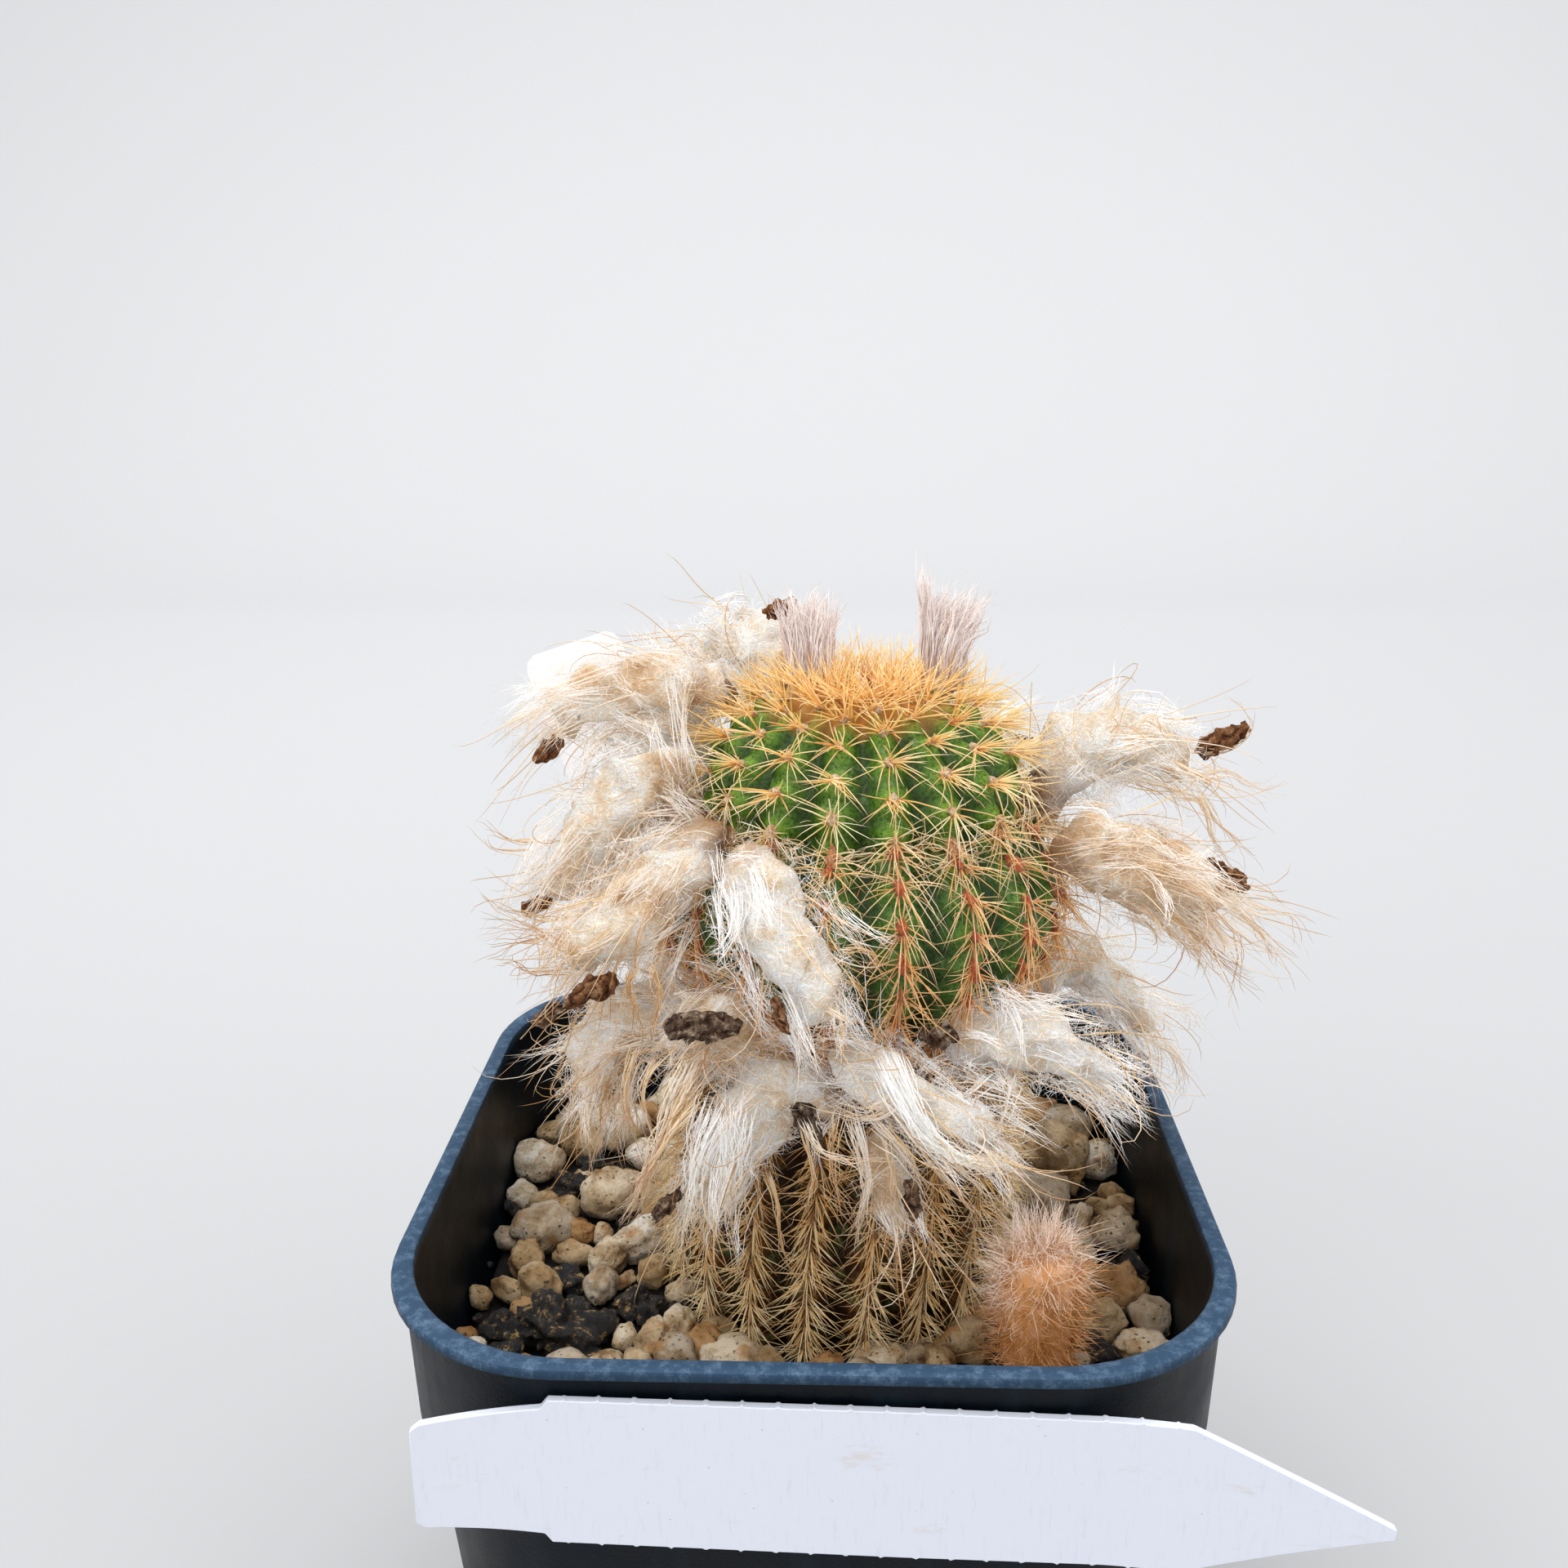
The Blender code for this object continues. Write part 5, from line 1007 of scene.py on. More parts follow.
def cut_drains(pot):
    """Four plain round drain holes through the floor."""
    bm = bmesh.new()
    for x in (-DRAIN_OFFSET, DRAIN_OFFSET):
        for y in (-DRAIN_OFFSET, DRAIN_OFFSET):
            bmesh.ops.create_cone(
                bm, cap_ends=True, segments=32, radius1=DRAIN_RADIUS, radius2=DRAIN_RADIUS, depth=4 * FLOOR,
                matrix=Matrix.Translation((x, y, 0)),
            )
    cutter = bpy.data.objects.new("drains", mesh_of(bm, "drains"))
    bpy.context.scene.collection.objects.link(cutter)
    modifier = pot.modifiers.new("Drains", "BOOLEAN")
    modifier.operation = "DIFFERENCE"
    modifier.object = cutter
    modifier.solver = "EXACT"
    graph = bpy.context.evaluated_depsgraph_get()
    cut = bpy.data.meshes.new_from_object(pot.evaluated_get(graph))
    pot.modifiers.clear()
    pot.data = cut
    bpy.data.objects.remove(cutter)


# Growing mix and stones

def inner_half(z):
    """Half width of the pot's inside at a height."""
    rows = ((FLOOR, FOOT_HALF - WALL), (STEP_LOW + WALL, STEP_LOW_HALF - WALL),
            (STEP_TOP + WALL, STEP_TOP_HALF - WALL), (POT_HEIGHT, BAND_HALF - WALL))
    return table(rows, z)


def inside(x, y, radius, z=56 * MM):
    """A place moved in, where needed, so that a stone of that radius is inside the pot's wall."""
    inner = inner_half(z) - 0.9 * radius
    x, y = min(max(x, -inner), inner), min(max(y, -inner), inner)
    corner = inner * CORNER_SHARE
    over = Vector((max(abs(x) - inner + corner, 0), max(abs(y) - inner + corner, 0)))
    if over.length > corner:
        over *= 1 - corner / over.length
        x -= math.copysign(over.x, x)
        y -= math.copysign(over.y, y)
    return x, y


def lump(heap, middle, radius, seed, subdivisions, rough=0.34, tone=0.0, chips=6):
    """One uneven stone with worn flats, added to a heap, and held inside the pot's wall."""
    bm = bmesh.new()
    layer = bm.verts.layers.float.new("tone")
    bmesh.ops.create_icosphere(bm, subdivisions=subdivisions, radius=radius)
    draw = random.Random(seed)
    shift = Vector((draw.random(), draw.random(), draw.random())) * 40
    stretch = Vector((draw.uniform(0.8, 1.35), draw.uniform(0.8, 1.15), draw.uniform(0.7, 0.95)))
    turn = Matrix.Rotation(draw.uniform(0, math.tau), 3, "Z")
    turn = turn @ Matrix.Rotation(draw.uniform(-0.5, 0.5), 3, "X")
    flats = [
        Vector((draw.gauss(0, 1), draw.gauss(0, 1), draw.gauss(0, 0.8))).normalized() for _ in range(chips)
    ]
    depths = [draw.uniform(0.66, 0.9) for _ in flats]
    for vert in bm.verts:
        unit = vert.co / radius
        for flat, depth in zip(flats, depths):
            unit -= flat * 0.6 * max(0.0, unit.dot(flat) - depth)
        high = noise.noise(unit * 1.0 + shift) + 0.6 * noise.noise(unit * 2.2 + shift)
        if subdivisions > 3:
            high += 0.32 * noise.noise(unit * 5.0 + shift) + 0.18 * noise.noise(unit * 10.0 + shift)
        unit = Vector(a * b for a, b in zip(unit * (1.06 + rough * high), stretch))
        vert.co = turn @ (unit * radius) + middle
        vert.co.x, vert.co.y = inside(vert.co.x, vert.co.y, 0.2 * MM, vert.co.z)
        vert[layer] = tone
    one = mesh_of(bm, "lump")
    heap.from_mesh(one)
    bpy.data.meshes.remove(one)


def free_place(x, y, radius, taken, share=0.8):
    """Whether a stone has room between the ones that are already placed, the stem and the offset."""
    if math.hypot(x - STEM_FOOT_X, y) < STEM_CLEARANCE + 0.55 * radius:
        return False
    if math.hypot(x - PUP_CENTRE[0] * MM, y - PUP_CENTRE[1] * MM) < PUP_RADIUS * MM + 0.5 * radius:
        return False
    return all(math.hypot(x - a, y - b) > share * (radius + r) for a, b, r in taken)


def make_stones(look):
    """The pale dressing: the stones that show, then as many more as find room, in two layers."""
    bm = bmesh.new()
    bm.verts.layers.float.new("tone")
    draw = random.Random(STONE_SEED)
    taken = [(x * MM, y * MM, r * MM) for x, y, r in LAVA]
    for index, (x, y, radius, tone) in enumerate(SEEN_STONES):
        radius *= MM
        x, y = inside(x * MM, y * MM, radius)
        middle = Vector((x, y, STONE_BED + 0.62 * radius))
        lump(bm, middle, radius, index, 4 if radius > LARGE_STONE else 3, tone=TONES[tone])
        taken.append((x, y, radius))
    for radius, tries in FILL_STONES:
        for index in range(tries):
            x, y = draw.uniform(-SCATTER, SCATTER) * MM, draw.uniform(-SCATTER, SCATTER) * MM
            size = radius * draw.uniform(0.8, 1.2)
            x, y = inside(x, y, size)
            if free_place(x, y, size, taken, 0.86):
                middle = Vector((x, y, FILL_BED + 0.55 * size + draw.uniform(-0.3, 0.5) * MM))
                lump(bm, middle, size, 100 + index, 3, tone=draw.choice(list(TONES.values())))
                taken.append((x, y, size))
    return piece("pumice_stones", mesh_of(bm, "pumice_stones"), look, ["pumice"])


def make_lava(look):
    """The dark lumps that lie among the stones."""
    bm = bmesh.new()
    bm.verts.layers.float.new("tone")
    for index, (x, y, radius) in enumerate(LAVA):
        radius *= MM
        x, y = inside(x * MM, y * MM, radius)
        middle = Vector((x, y, STONE_BED + 0.5 * radius))
        lump(bm, middle, radius, 500 + index, 4 if radius > LARGE_LUMP else 3, rough=0.75)
    return piece("lava_lumps", mesh_of(bm, "lava_lumps"), look)


def make_mix(look):
    """The growing mix: an uneven crumbly top over a plain body inside the pot."""
    bm = bmesh.new()
    bm.verts.layers.float.new("rim")
    size = FOOT_HALF - WALL - MIX_GAP
    bmesh.ops.create_grid(bm, x_segments=1, y_segments=1, size=size)
    bmesh.ops.bevel(
        bm, geom=bm.verts[:], offset=size * CORNER_SHARE, affect="VERTICES",
        segments=8, profile=0.5, material=-1,
    )
    bmesh.ops.translate(bm, verts=bm.verts, vec=(0, 0, FLOOR + MIX_GAP))
    ring = extruded(bm, bm.edges[:], inner_half(STEP_LOW) - 0.35 * MM, STEP_LOW)
    half = inner_half(MIX_TOP) - MIX_GAP
    ring = extruded(bm, ring, half, MIX_TOP)
    for share in (0.93, 0.86, 0.79, 0.72, 0.65, 0.58, 0.5, 0.4, 0.25):
        ring = extruded(bm, ring, half * share, MIX_TOP)
    bmesh.ops.edgeloop_fill(bm, edges=ring)
    top = [e for e in bm.edges if min(v.co.z for v in e.verts) > MIX_TOP - 0.01 * MM]
    bmesh.ops.subdivide_edges(bm, edges=top, cuts=3, use_grid_fill=True)
    for vert in bm.verts:
        if vert.co.z > MIX_TOP - 0.01 * MM and max(abs(vert.co.x), abs(vert.co.y)) < half - 0.2 * MM:
            vert.co.z += 1.1 * MM + 0.8 * MM * noise.noise(vert.co / (3 * MM))
    return piece("peat_mix", mesh_of(bm, "peat_mix"), look, ["growing_mix"])


def make_grit(look):
    """Loose grains of grit between the stones."""
    bm = bmesh.new()
    bm.verts.layers.float.new("tone")
    draw = random.Random(GRAIN_SEED)
    for index in range(GRAINS):
        size = draw.uniform(0.35, 1.0) * MM
        x, y = inside(draw.uniform(-SCATTER, SCATTER) * MM, draw.uniform(-SCATTER, SCATTER) * MM, size)
        if free_place(x, y, size, ()):
            middle = Vector((x, y, GRIT_BED + draw.uniform(0, 0.8) * MM))
            lump(bm, middle, size, 900 + index, 2, rough=0.5)
    return piece("loose_grit", mesh_of(bm, "loose_grit"), look)


# Stem

def profile_curve(steps=12):
    """The stem's outline as (length so far, radius, height), smooth and finely sampled, in metres."""
    points = [Vector((r * MM, z * MM + POT_HEIGHT)) for z, r in STEM_PROFILE]
    count = (len(points) - 1) * steps
    curve, run, last = [], 0.0, None
    for index in range(count + 1):
        place = spline(points, index / count)
        if last is not None:
            run += (place - last).length
        curve.append((run, max(place.x, 0.0), place.y))
        last = place
    return curve


PROFILE = profile_curve()
PROFILE_RUNS = [row[0] for row in PROFILE]
PROFILE_LENGTH = PROFILE_RUNS[-1]
SOIL_LENGTH = next(run for run, _, z in PROFILE if z > MIX_TOP)
FIRST_AREOLE = SOIL_LENGTH + 1.5 * MM


def lean(z):
    """How far the stem's middle line stands from the pot's, at a height."""
    share = (z - POT_HEIGHT - LEAN_LOW) / (LEAN_HIGH - LEAN_LOW)
    share = min(max(share, 0.0), 1.0)
    return STEM_FOOT_X + (STEM_HEAD_X - STEM_FOOT_X) * share * share * (3 - 2 * share)


def profile_at(run):
    """Radius, height and outward slope (radial, vertical) at a length along the stem's outline."""
    run = min(max(run, 0.0), PROFILE_LENGTH)
    index = min(max(bisect.bisect_left(PROFILE_RUNS, run), 1), len(PROFILE) - 1)
    (s0, r0, z0), (s1, r1, z1) = PROFILE[index - 1], PROFILE[index]
    t = (run - s0) / max(s1 - s0, 1e-9)
    along = Vector((r1 - r0, z1 - z0)).normalized()
    return r0 + (r1 - r0) * t, z0 + (z1 - z0) * t, Vector((along.y, -along.x))


def on_stem(run, angle, raised=0.0):
    """A point of the stem's skin and its outward normal."""
    radius, z, out = profile_at(run)
    across = facing(angle)
    normal = (across * out.x + Vector((0, 0, out.y))).normalized()
    return Vector((lean(z), 0, z)) + across * radius + normal * raised, normal


def rib_angle(rib):
    """The angle of a rib's crest round the stem."""
    return FRONT_RIB + rib * math.tau / RIBS


def areoles():
    """Every areole as (rib, length along the outline), staggered on alternate ribs."""
    count = int((PROFILE_LENGTH - FIRST_AREOLE) / AREOLE_PITCH)
    return [
        (rib, FIRST_AREOLE + (row + 0.5 * (rib % 2)) * AREOLE_PITCH)
        for row in range(count) for rib in range(RIBS)
    ]


def nearest_areole(angle, height):
    """The crest angle and outline length of the areole nearest to an angle in degrees and a height in mm."""

    def miss(areole):
        rib, run = areole
        turn = (math.degrees(rib_angle(rib)) - angle + 180) % 360 - 180
        return abs(profile_at(run)[1] - height * MM - POT_HEIGHT) / AREOLE_PITCH + abs(turn) * RIBS / 360

    rib, run = min(areoles(), key=miss)
    return rib_angle(rib), run


def age_at(run):
    """0 at the crown, to 1 on the oldest stem at the mix. The fold in the head is 0.36, the waist 0.66."""
    z = profile_at(run)[1]
    from_tip = PROFILE_LENGTH - run
    if z > FOLD_HEIGHT:
        return table(((0.0, 0.0), (9 * MM, 0.1), (17 * MM, 0.25), (20 * MM, 0.34)), from_tip)
    rows = ((MIX_TOP, 1.0), (72 * MM, 0.85), (WAIST_HEIGHT, 0.66), (90 * MM, 0.5), (FOLD_HEIGHT, 0.36))
    return table(rows, z)


def relief(run, angle):
    """Height of the ribs and their tubercles over the plain outline, and a share for the skin's painted
    shade: how near the crest a place is, less in the creases between tubercles.
    """
    turn = (angle - rib_angle(0)) / math.tau * RIBS
    rib = round(turn)
    crest = 0.5 + 0.5 * math.cos((turn - rib) * math.tau)
    phase = (run - FIRST_AREOLE) / AREOLE_PITCH - 0.5 * (rib % 2)
    swell = 0.5 + 0.5 * math.cos(phase * math.tau)
    fade = min(1.0, max(0.0, (PROFILE_LENGTH - run) / BARE_TIP))
    high = RIB_RELIEF * crest ** 0.75 + TUBERCLE_RELIEF * crest * swell - 0.25 * MM * (1 - crest) ** 4
    crease = (1 - swell) ** 3
    return high * fade, max(0.0, 0.75 * crest ** 0.8 + 0.3 * crest * swell - 0.22 * crease)


def make_stem(look):
    """The skin: a fine sheet wrapped round the outline and raised into ribs of low tubercles."""
    bm = bmesh.new()
    crest_shade_layer, age_layer = bm.verts.layers.float.new("crest"), bm.verts.layers.float.new("age")
    bmesh.ops.create_grid(bm, x_segments=SKIN_COLUMNS, y_segments=SKIN_ROWS, size=0.5)
    start = SOIL_LENGTH * 0.7
    for vert in bm.verts:
        angle = rib_angle(0) + (vert.co.x + 0.5) * math.tau
        run = start + (vert.co.y + 0.5) * (PROFILE_LENGTH - start)
        raised, vert[crest_shade_layer] = relief(run, angle)
        vert[age_layer] = age_at(run)
        vert.co = on_stem(run, angle, raised)[0]
    bmesh.ops.remove_doubles(bm, verts=bm.verts, dist=0.004 * MM)
    bmesh.ops.holes_fill(bm, edges=[e for e in bm.edges if e.is_boundary])
    return piece("stem_skin", mesh_of(bm, "stem_skin"), look, ["stem"])


def spine(seat, direction, reach, sag, radius, count, tone, age):
    """One spine: straight at its root and bent by its sag towards the tip."""
    points = []
    for index in range(count):
        t = index / (count - 1)
        points.append(seat + direction * reach * (t * 1.12 - 0.12) + sag * reach * t * t)
    return points, tapered(count, radius, root=1.0, tip=0.25), tone, age


def areole_spines(rib, run, draw):
    """The spines of one areole, by where on the stem it stands."""
    angle = rib_angle(rib)
    seat, normal = on_stem(run, angle, relief(run, angle)[0])
    level = facing(angle + math.pi / 2)
    down = normal.cross(level)
    down = -down if down.z > 0 else down
    age = age_at(run)
    if PROFILE_LENGTH - run < CROWN_REACH:
        return crown_spines(seat, level, (PROFILE_LENGTH - run) / CROWN_REACH, draw)
    if age > OLD_STEM:
        return old_spines(seat, normal, level, down, age, draw)
    return head_spines(seat, normal, level, down, age, draw)


def crown_spines(seat, level, edge, draw):
    """The golden mat of the crown: its spines crowd, stand up in the middle and lean out at the edge."""
    outward = Vector((level.y, -level.x, 0))
    lines = []
    for _ in range(int(16 + 12 * edge)):
        tilt = math.radians(8 + 78 * edge) + draw.gauss(0, 0.34)
        direction = outward * math.sin(tilt) + Vector((0, 0, math.cos(tilt))) + level * draw.gauss(0, 0.65)
        reach = draw.uniform(3.4, 6.0) * MM
        sag = Vector((draw.gauss(0, 0.14), draw.gauss(0, 0.14), draw.uniform(-0.35, 0.1))) - outward * 0.05
        root = seat + level * draw.gauss(0, 0.4) * MM
        radius = SPINE * draw.uniform(0.6, 0.9)
        lines.append(spine(root, direction.normalized(), reach, sag, radius, 5, draw.random(), 0.17 * edge))
    return lines


def heart_spines(draw):
    """The short young spines that close the crown over its growing point."""
    lines = []
    for _ in range(HEART_SPINES):
        turn, away = draw.uniform(0, math.tau), HEART_RADIUS * math.sqrt(draw.random())
        outward = facing(turn)
        seat, normal = on_stem(PROFILE_LENGTH - away * MM, turn)
        direction = normal + outward * draw.gauss(0.1, 0.4)
        direction += Vector((draw.gauss(0, 0.3), draw.gauss(0, 0.3), 0))
        sag = Vector((draw.gauss(0, 0.15), draw.gauss(0, 0.15), draw.uniform(-0.3, 0.0)))
        reach = draw.uniform(2.0, 4.2) * MM
        radius = SPINE * draw.uniform(0.5, 0.8)
        lines.append(spine(seat, direction.normalized(), reach, sag, radius, 4, draw.random(), 0.0))
    return lines


def head_spines(seat, normal, level, down, age, draw):
    """Radials that arch over like a spider's legs and a few centrals: straw-coloured high on the head,
    denser, longer and rooted in rust about the fold and below it."""
    low = age > LOWER_HEAD
    radials = 17 if low else 14
    lines = []
    for index in range(radials):
        turn = (index + draw.uniform(-0.45, 0.45)) / radials * math.tau
        flat = round_line(level, down, turn)
        direction = (flat + normal * draw.uniform(0.5, 1.2)).normalized()
        reach = draw.uniform(3.6, 7.2 if low else 6.4) * MM
        sag = level * draw.gauss(0, 0.2) + down * draw.uniform(0.0, 0.6) - normal * draw.uniform(0.35, 0.85)
        root = seat + down * draw.uniform(-0.5, 0.5) * MM * (1.8 if low else 0.7)
        radius = SPINE * draw.uniform(0.55, 0.85 if low else 0.95)
        lines.append(spine(root, direction, reach, sag, radius, 5, draw.uniform(0.1, 1.0), age))
    for _ in range(9 if low else 5):
        direction = (normal * 0.7 + down * draw.uniform(-0.2, 0.9) + level * draw.gauss(0, 0.8)).normalized()
        reach = draw.uniform(2.8, 6.4) * MM
        sag = down * draw.uniform(0.05, 0.7) + level * draw.gauss(0, 0.3)
        root = seat + down * draw.uniform(-0.6, 0.6) * MM
        lines.append(spine(root, direction, reach, sag, SPINE * 0.8, 5, draw.uniform(0.0, 0.7), age))
    return lines


def old_spines(seat, normal, level, down, age, draw):
    """The old stem's spines: close, a little curved, and swept to both sides of the rib, mostly downwards."""
    lines = []
    for index in range(26):
        hand = 1 if index % 2 else -1
        dip = draw.uniform(-0.3, 1.3)
        flat = level * hand * math.cos(dip) + down * math.sin(dip)
        direction = (flat + normal * draw.uniform(0.05, 1.2)).normalized()
        sag = down * draw.uniform(0.0, 0.3) - normal * draw.uniform(0.0, 0.3) + level * draw.gauss(0, 0.16)
        root = seat + down * draw.uniform(-1.1, 1.1) * MM
        reach = draw.uniform(3.0, 5.4) * MM
        radius = SPINE * draw.uniform(0.5, 0.85)
        lines.append(spine(root, direction, reach, sag, radius, 4, draw.random(), age))
    for _ in range(4):
        direction = (normal + down * draw.uniform(0.2, 1.2) + level * draw.gauss(0, 0.4)).normalized()
        sag = down * draw.uniform(0.0, 0.2)
        reach = draw.uniform(3.0, 4.6) * MM
        lines.append(spine(seat, direction, reach, sag, SPINE * 0.8, 4, draw.random(), age))
    return lines


def make_spines(look, felt):
    """All spines of the stem, and the felt that they stand in."""
    draw = random.Random(SPINE_SEED)
    groups = {"crown_spines": [], "head_spines": [], "old_stem_spines": []}
    pads = []
    for rib, run in areoles():
        zone = "crown_spines" if PROFILE_LENGTH - run < CROWN_REACH else "head_spines"
        zone = "old_stem_spines" if age_at(run) > OLD_STEM else zone
        groups[zone] += areole_spines(rib, run, draw)
        if PROFILE_LENGTH - run > BARE_TIP:
            pads.append(felt_pad(rib, run, draw))
    groups["crown_spines"] += heart_spines(draw)
    for name, lines in groups.items():
        piece(name, strands(name, lines), look)
    mesh = strands("areole_felt", pads, sides=7)
    for vert in mesh.vertices:
        vert.co += shaken(vert.co, 0.45 * MM, 3) * 0.3 * MM
    piece("areole_felt", mesh, felt)


def felt_pad(rib, run, draw):
    """The small felted pad of one areole, drawn out downwards. Some about the fold hold a larger tuft."""
    angle = rib_angle(rib)
    seat, normal = on_stem(run, angle, relief(run, angle)[0])
    above, _ = on_stem(run + 1 * MM, angle, relief(run + 1 * MM, angle)[0])
    rising = (above - seat).normalized()
    age = age_at(run)
    size = FELT_RADIUS * draw.uniform(0.75, 1.15) * (0.7 if age > OLD_STEM else 1.0)
    if 0.24 < age < 0.6 and draw.random() < 0.35:
        size *= 1.35
    reach = size * (1.9 if age > 0.3 else 1.3)
    points = [seat + normal * size * out + rising * reach * up for out, up in PAD_SHAPE]
    return points, [size * share for share in PAD_RADII], draw.random(), age


def curl(place, heading, axis, step, count, bend, stray, draw):
    """The points of a crimped hair that turns about an axis as it goes, and strays a little."""
    points = []
    for _ in range(count):
        points.append(place.copy())
        place = place + heading * step
        heading = Matrix.Rotation(bend + draw.gauss(0, 0.45), 3, axis) @ heading
        heading = (heading + axis * draw.gauss(0, stray)).normalized()
    return points


def make_fold_scraps(look):
    """Dry scraps of old wool and broken spines, caught in the fold of the head and at the waist."""
    draw = random.Random(SPINE_SEED + 1)
    low = next(run for run, _, z in PROFILE if z > FOLD_HEIGHT - 2.2 * MM)
    waist = next(run for run, _, z in PROFILE if z > WAIST_HEIGHT - 1 * MM)
    lines = []
    for index in range(SCRAPS):
        angle = draw.uniform(0, math.tau)
        at_fold = index % 3 < 2
        run = low + draw.gauss(1.4, 1.5) * MM if at_fold else waist + draw.gauss(0, 1.6) * MM
        crowd = noise.noise(Vector((math.cos(angle), math.sin(angle), 0.3 * index % 3)) * 2.2)
        if draw.random() > 0.6 + crowd:
            continue
        seat, normal = on_stem(run, angle, relief(run, angle)[0] + draw.uniform(0.2, 1.5) * MM)
        level = facing(angle + math.pi / 2)
        heading = (level * draw.choice((-1, 1)) + Vector((0, 0, draw.gauss(0, 0.6)))).normalized()
        bend = draw.choice((-1, 1)) * draw.uniform(0.1, 0.8)
        points = curl(seat, heading, normal, draw.uniform(0.45, 0.8) * MM, 6, bend, 0.3, draw)
        radii = tapered(6, WOOL * draw.uniform(0.9, 1.6))
        lines.append((points, radii, draw.random(), draw.uniform(0.3, 0.45)))
    piece("fold_scraps", strands("fold_scraps", lines), look)


# Fruits

def fruit_line(angle, height, mids):
    """A fruit's middle line: straight out of its areole, then through its own points."""
    seat_angle, run = nearest_areole(angle, height)
    seat, normal = on_stem(run, seat_angle, 1.75 * MM)
    return Line([seat - normal * 0.6 * MM, seat + normal * 2.2 * MM, *(point(*m) for m in mids)])


def belly(share):
    """A fruit's radius as a share of its thickest, from its neck to its end."""
    return max(math.sin(math.pi * min(1.0, max(share, 0.0) ** 0.8)) ** 0.7, 0.22)


def cover(share, turn, seed):
    """How far out the wool lies: uneven all round, as the belly at first, then an open brush past it."""
    plain = belly(share) if share < 0.45 else max(belly(share), 0.85 - 0.6 * (share - 0.45))
    place = Vector((math.cos(turn), math.sin(turn), 2.6 * share)) * 1.15 + Vector((seed, -seed, seed))
    return plain * (1.0 + 0.42 * noise.noise(place))


def make_core(name, line, thickest, look, tone):
    """The matted body under the loose wool: a tube along the fruit, pushed about into clumps."""
    count = 36
    points, radii = [], []
    for index in range(count):
        share = index / (count - 1)
        points.append(line.at(share * 0.92)[0])
        radii.append(thickest * MM * 0.7 * belly(share * 0.88))
    radii[0], radii[-1] = 0.0, 0.0
    mesh = strands(name, [(points, radii, tone, 0.0)], sides=26)
    for vert in mesh.vertices:
        push = shaken(vert.co, 3.4 * MM, thickest) * 1.6 + shaken(vert.co, 1.5 * MM, 4) * 0.4
        vert.co += push * MM * min(1.0, thickest / 3)
    return piece(name, mesh, look, [name.replace("_core", "")])


def tuft(path, hairs, spread, radius, tone, draw, splay, crimp=0.75):
    """A lock of hairs that leave their root apart, draw together along a path and splay a little at the
    tip."""
    count = len(path)
    for _ in range(hairs):
        apart = any_way(draw) * spread * 0.6
        stray = any_way(draw) * splay
        seed, waves = draw.uniform(0, 40), draw.uniform(0.25, 1.0) * crimp * MM
        early = draw.uniform(0.72, 1.0)
        points = []
        for index in range(count):
            t = index / (count - 1)
            position = t * early * (count - 1)
            low = min(int(position), count - 2)
            place = path[low].lerp(path[low + 1], position - low)
            place = place + apart * (0.12 + 0.88 * (1 - t) ** 1.3) + stray * max(0.0, t - 0.55) ** 2
            points.append(place + shaken(place, 1.7 * MM, seed) * waves * (0.25 + t))
        radii = tapered(count, radius * draw.uniform(0.7, 1.2))
        yield points, radii, min(1.0, max(0.0, tone + draw.gauss(0, 0.1))), 0.0


def wool_tufts(line, thickest, count, whiteness, seed, draw):
    """Long hair that leaves the belly in locks, as from a wet brush, follows the fruit and droops past its
    end."""
    for _ in range(count):
        start, turn = draw.uniform(0.08, 0.86), draw.uniform(0, math.tau)
        middle, tangent, side, up = line.at(start)
        across = round_line(side, up, turn)
        place = middle + across * thickest * MM * cover(start, turn, seed) * draw.uniform(0.76, 0.98)
        heading = (tangent + across * draw.uniform(-0.1, 0.25)).normalized()
        step = line.length * min(draw.uniform(0.22, 0.55), 1.14 - start) / 5
        axis = heading.cross(any_way(draw)).normalized()
        bend, drop = draw.gauss(0, 0.18), draw.uniform(0.0, 0.16)
        path = []
        for _ in range(6):
            path.append(place.copy())
            place = place + heading * step
            heading = Matrix.Rotation(bend, 3, axis) @ heading
            heading = (heading + Vector((0, 0, -drop))).normalized()
        tone = 0.3 + 0.5 * whiteness + draw.uniform(-0.25, 0.2)
        yield from tuft(path, TUFT_HAIRS, draw.uniform(0.7, 2.0) * MM, WOOL * 0.95, tone, draw, 3.0 * MM)


def matted_wool(line, thickest, count, whiteness, seed, draw):
    """Short crimped hairs that lie every way over the fruit and stand out of it, as in pulled cotton."""
    for _ in range(count):
        start, turn = draw.uniform(0.05, 0.97), draw.uniform(0, math.tau)
        middle, tangent, side, up = line.at(start)
        across = round_line(side, up, turn)
        place = middle + across * thickest * MM * min(cover(start, turn, seed), 1.2) * draw.uniform(0.8, 1.1)
        heading = tangent * draw.uniform(-1, 1) + across.cross(tangent) * draw.uniform(-1, 1)
        heading = (heading + across * draw.uniform(-0.2, 0.7)).normalized()
        bend = draw.choice((-1, 1)) * draw.uniform(0.2, 0.9)
        stray = 0.5 if draw.random() < 0.4 else 0.2
        points = curl(place, heading, across, draw.uniform(0.5, 0.9) * MM, 4, bend, stray, draw)
        tone = 0.34 + 0.46 * whiteness + 0.22 * noise.noise(place / (2.2 * MM)) + draw.uniform(-0.16, 0.08)
        yield points, tapered(4, WOOL * draw.uniform(0.5, 0.85)), tone, min(1.0, max(0.0, 1.5 - start / 0.16))


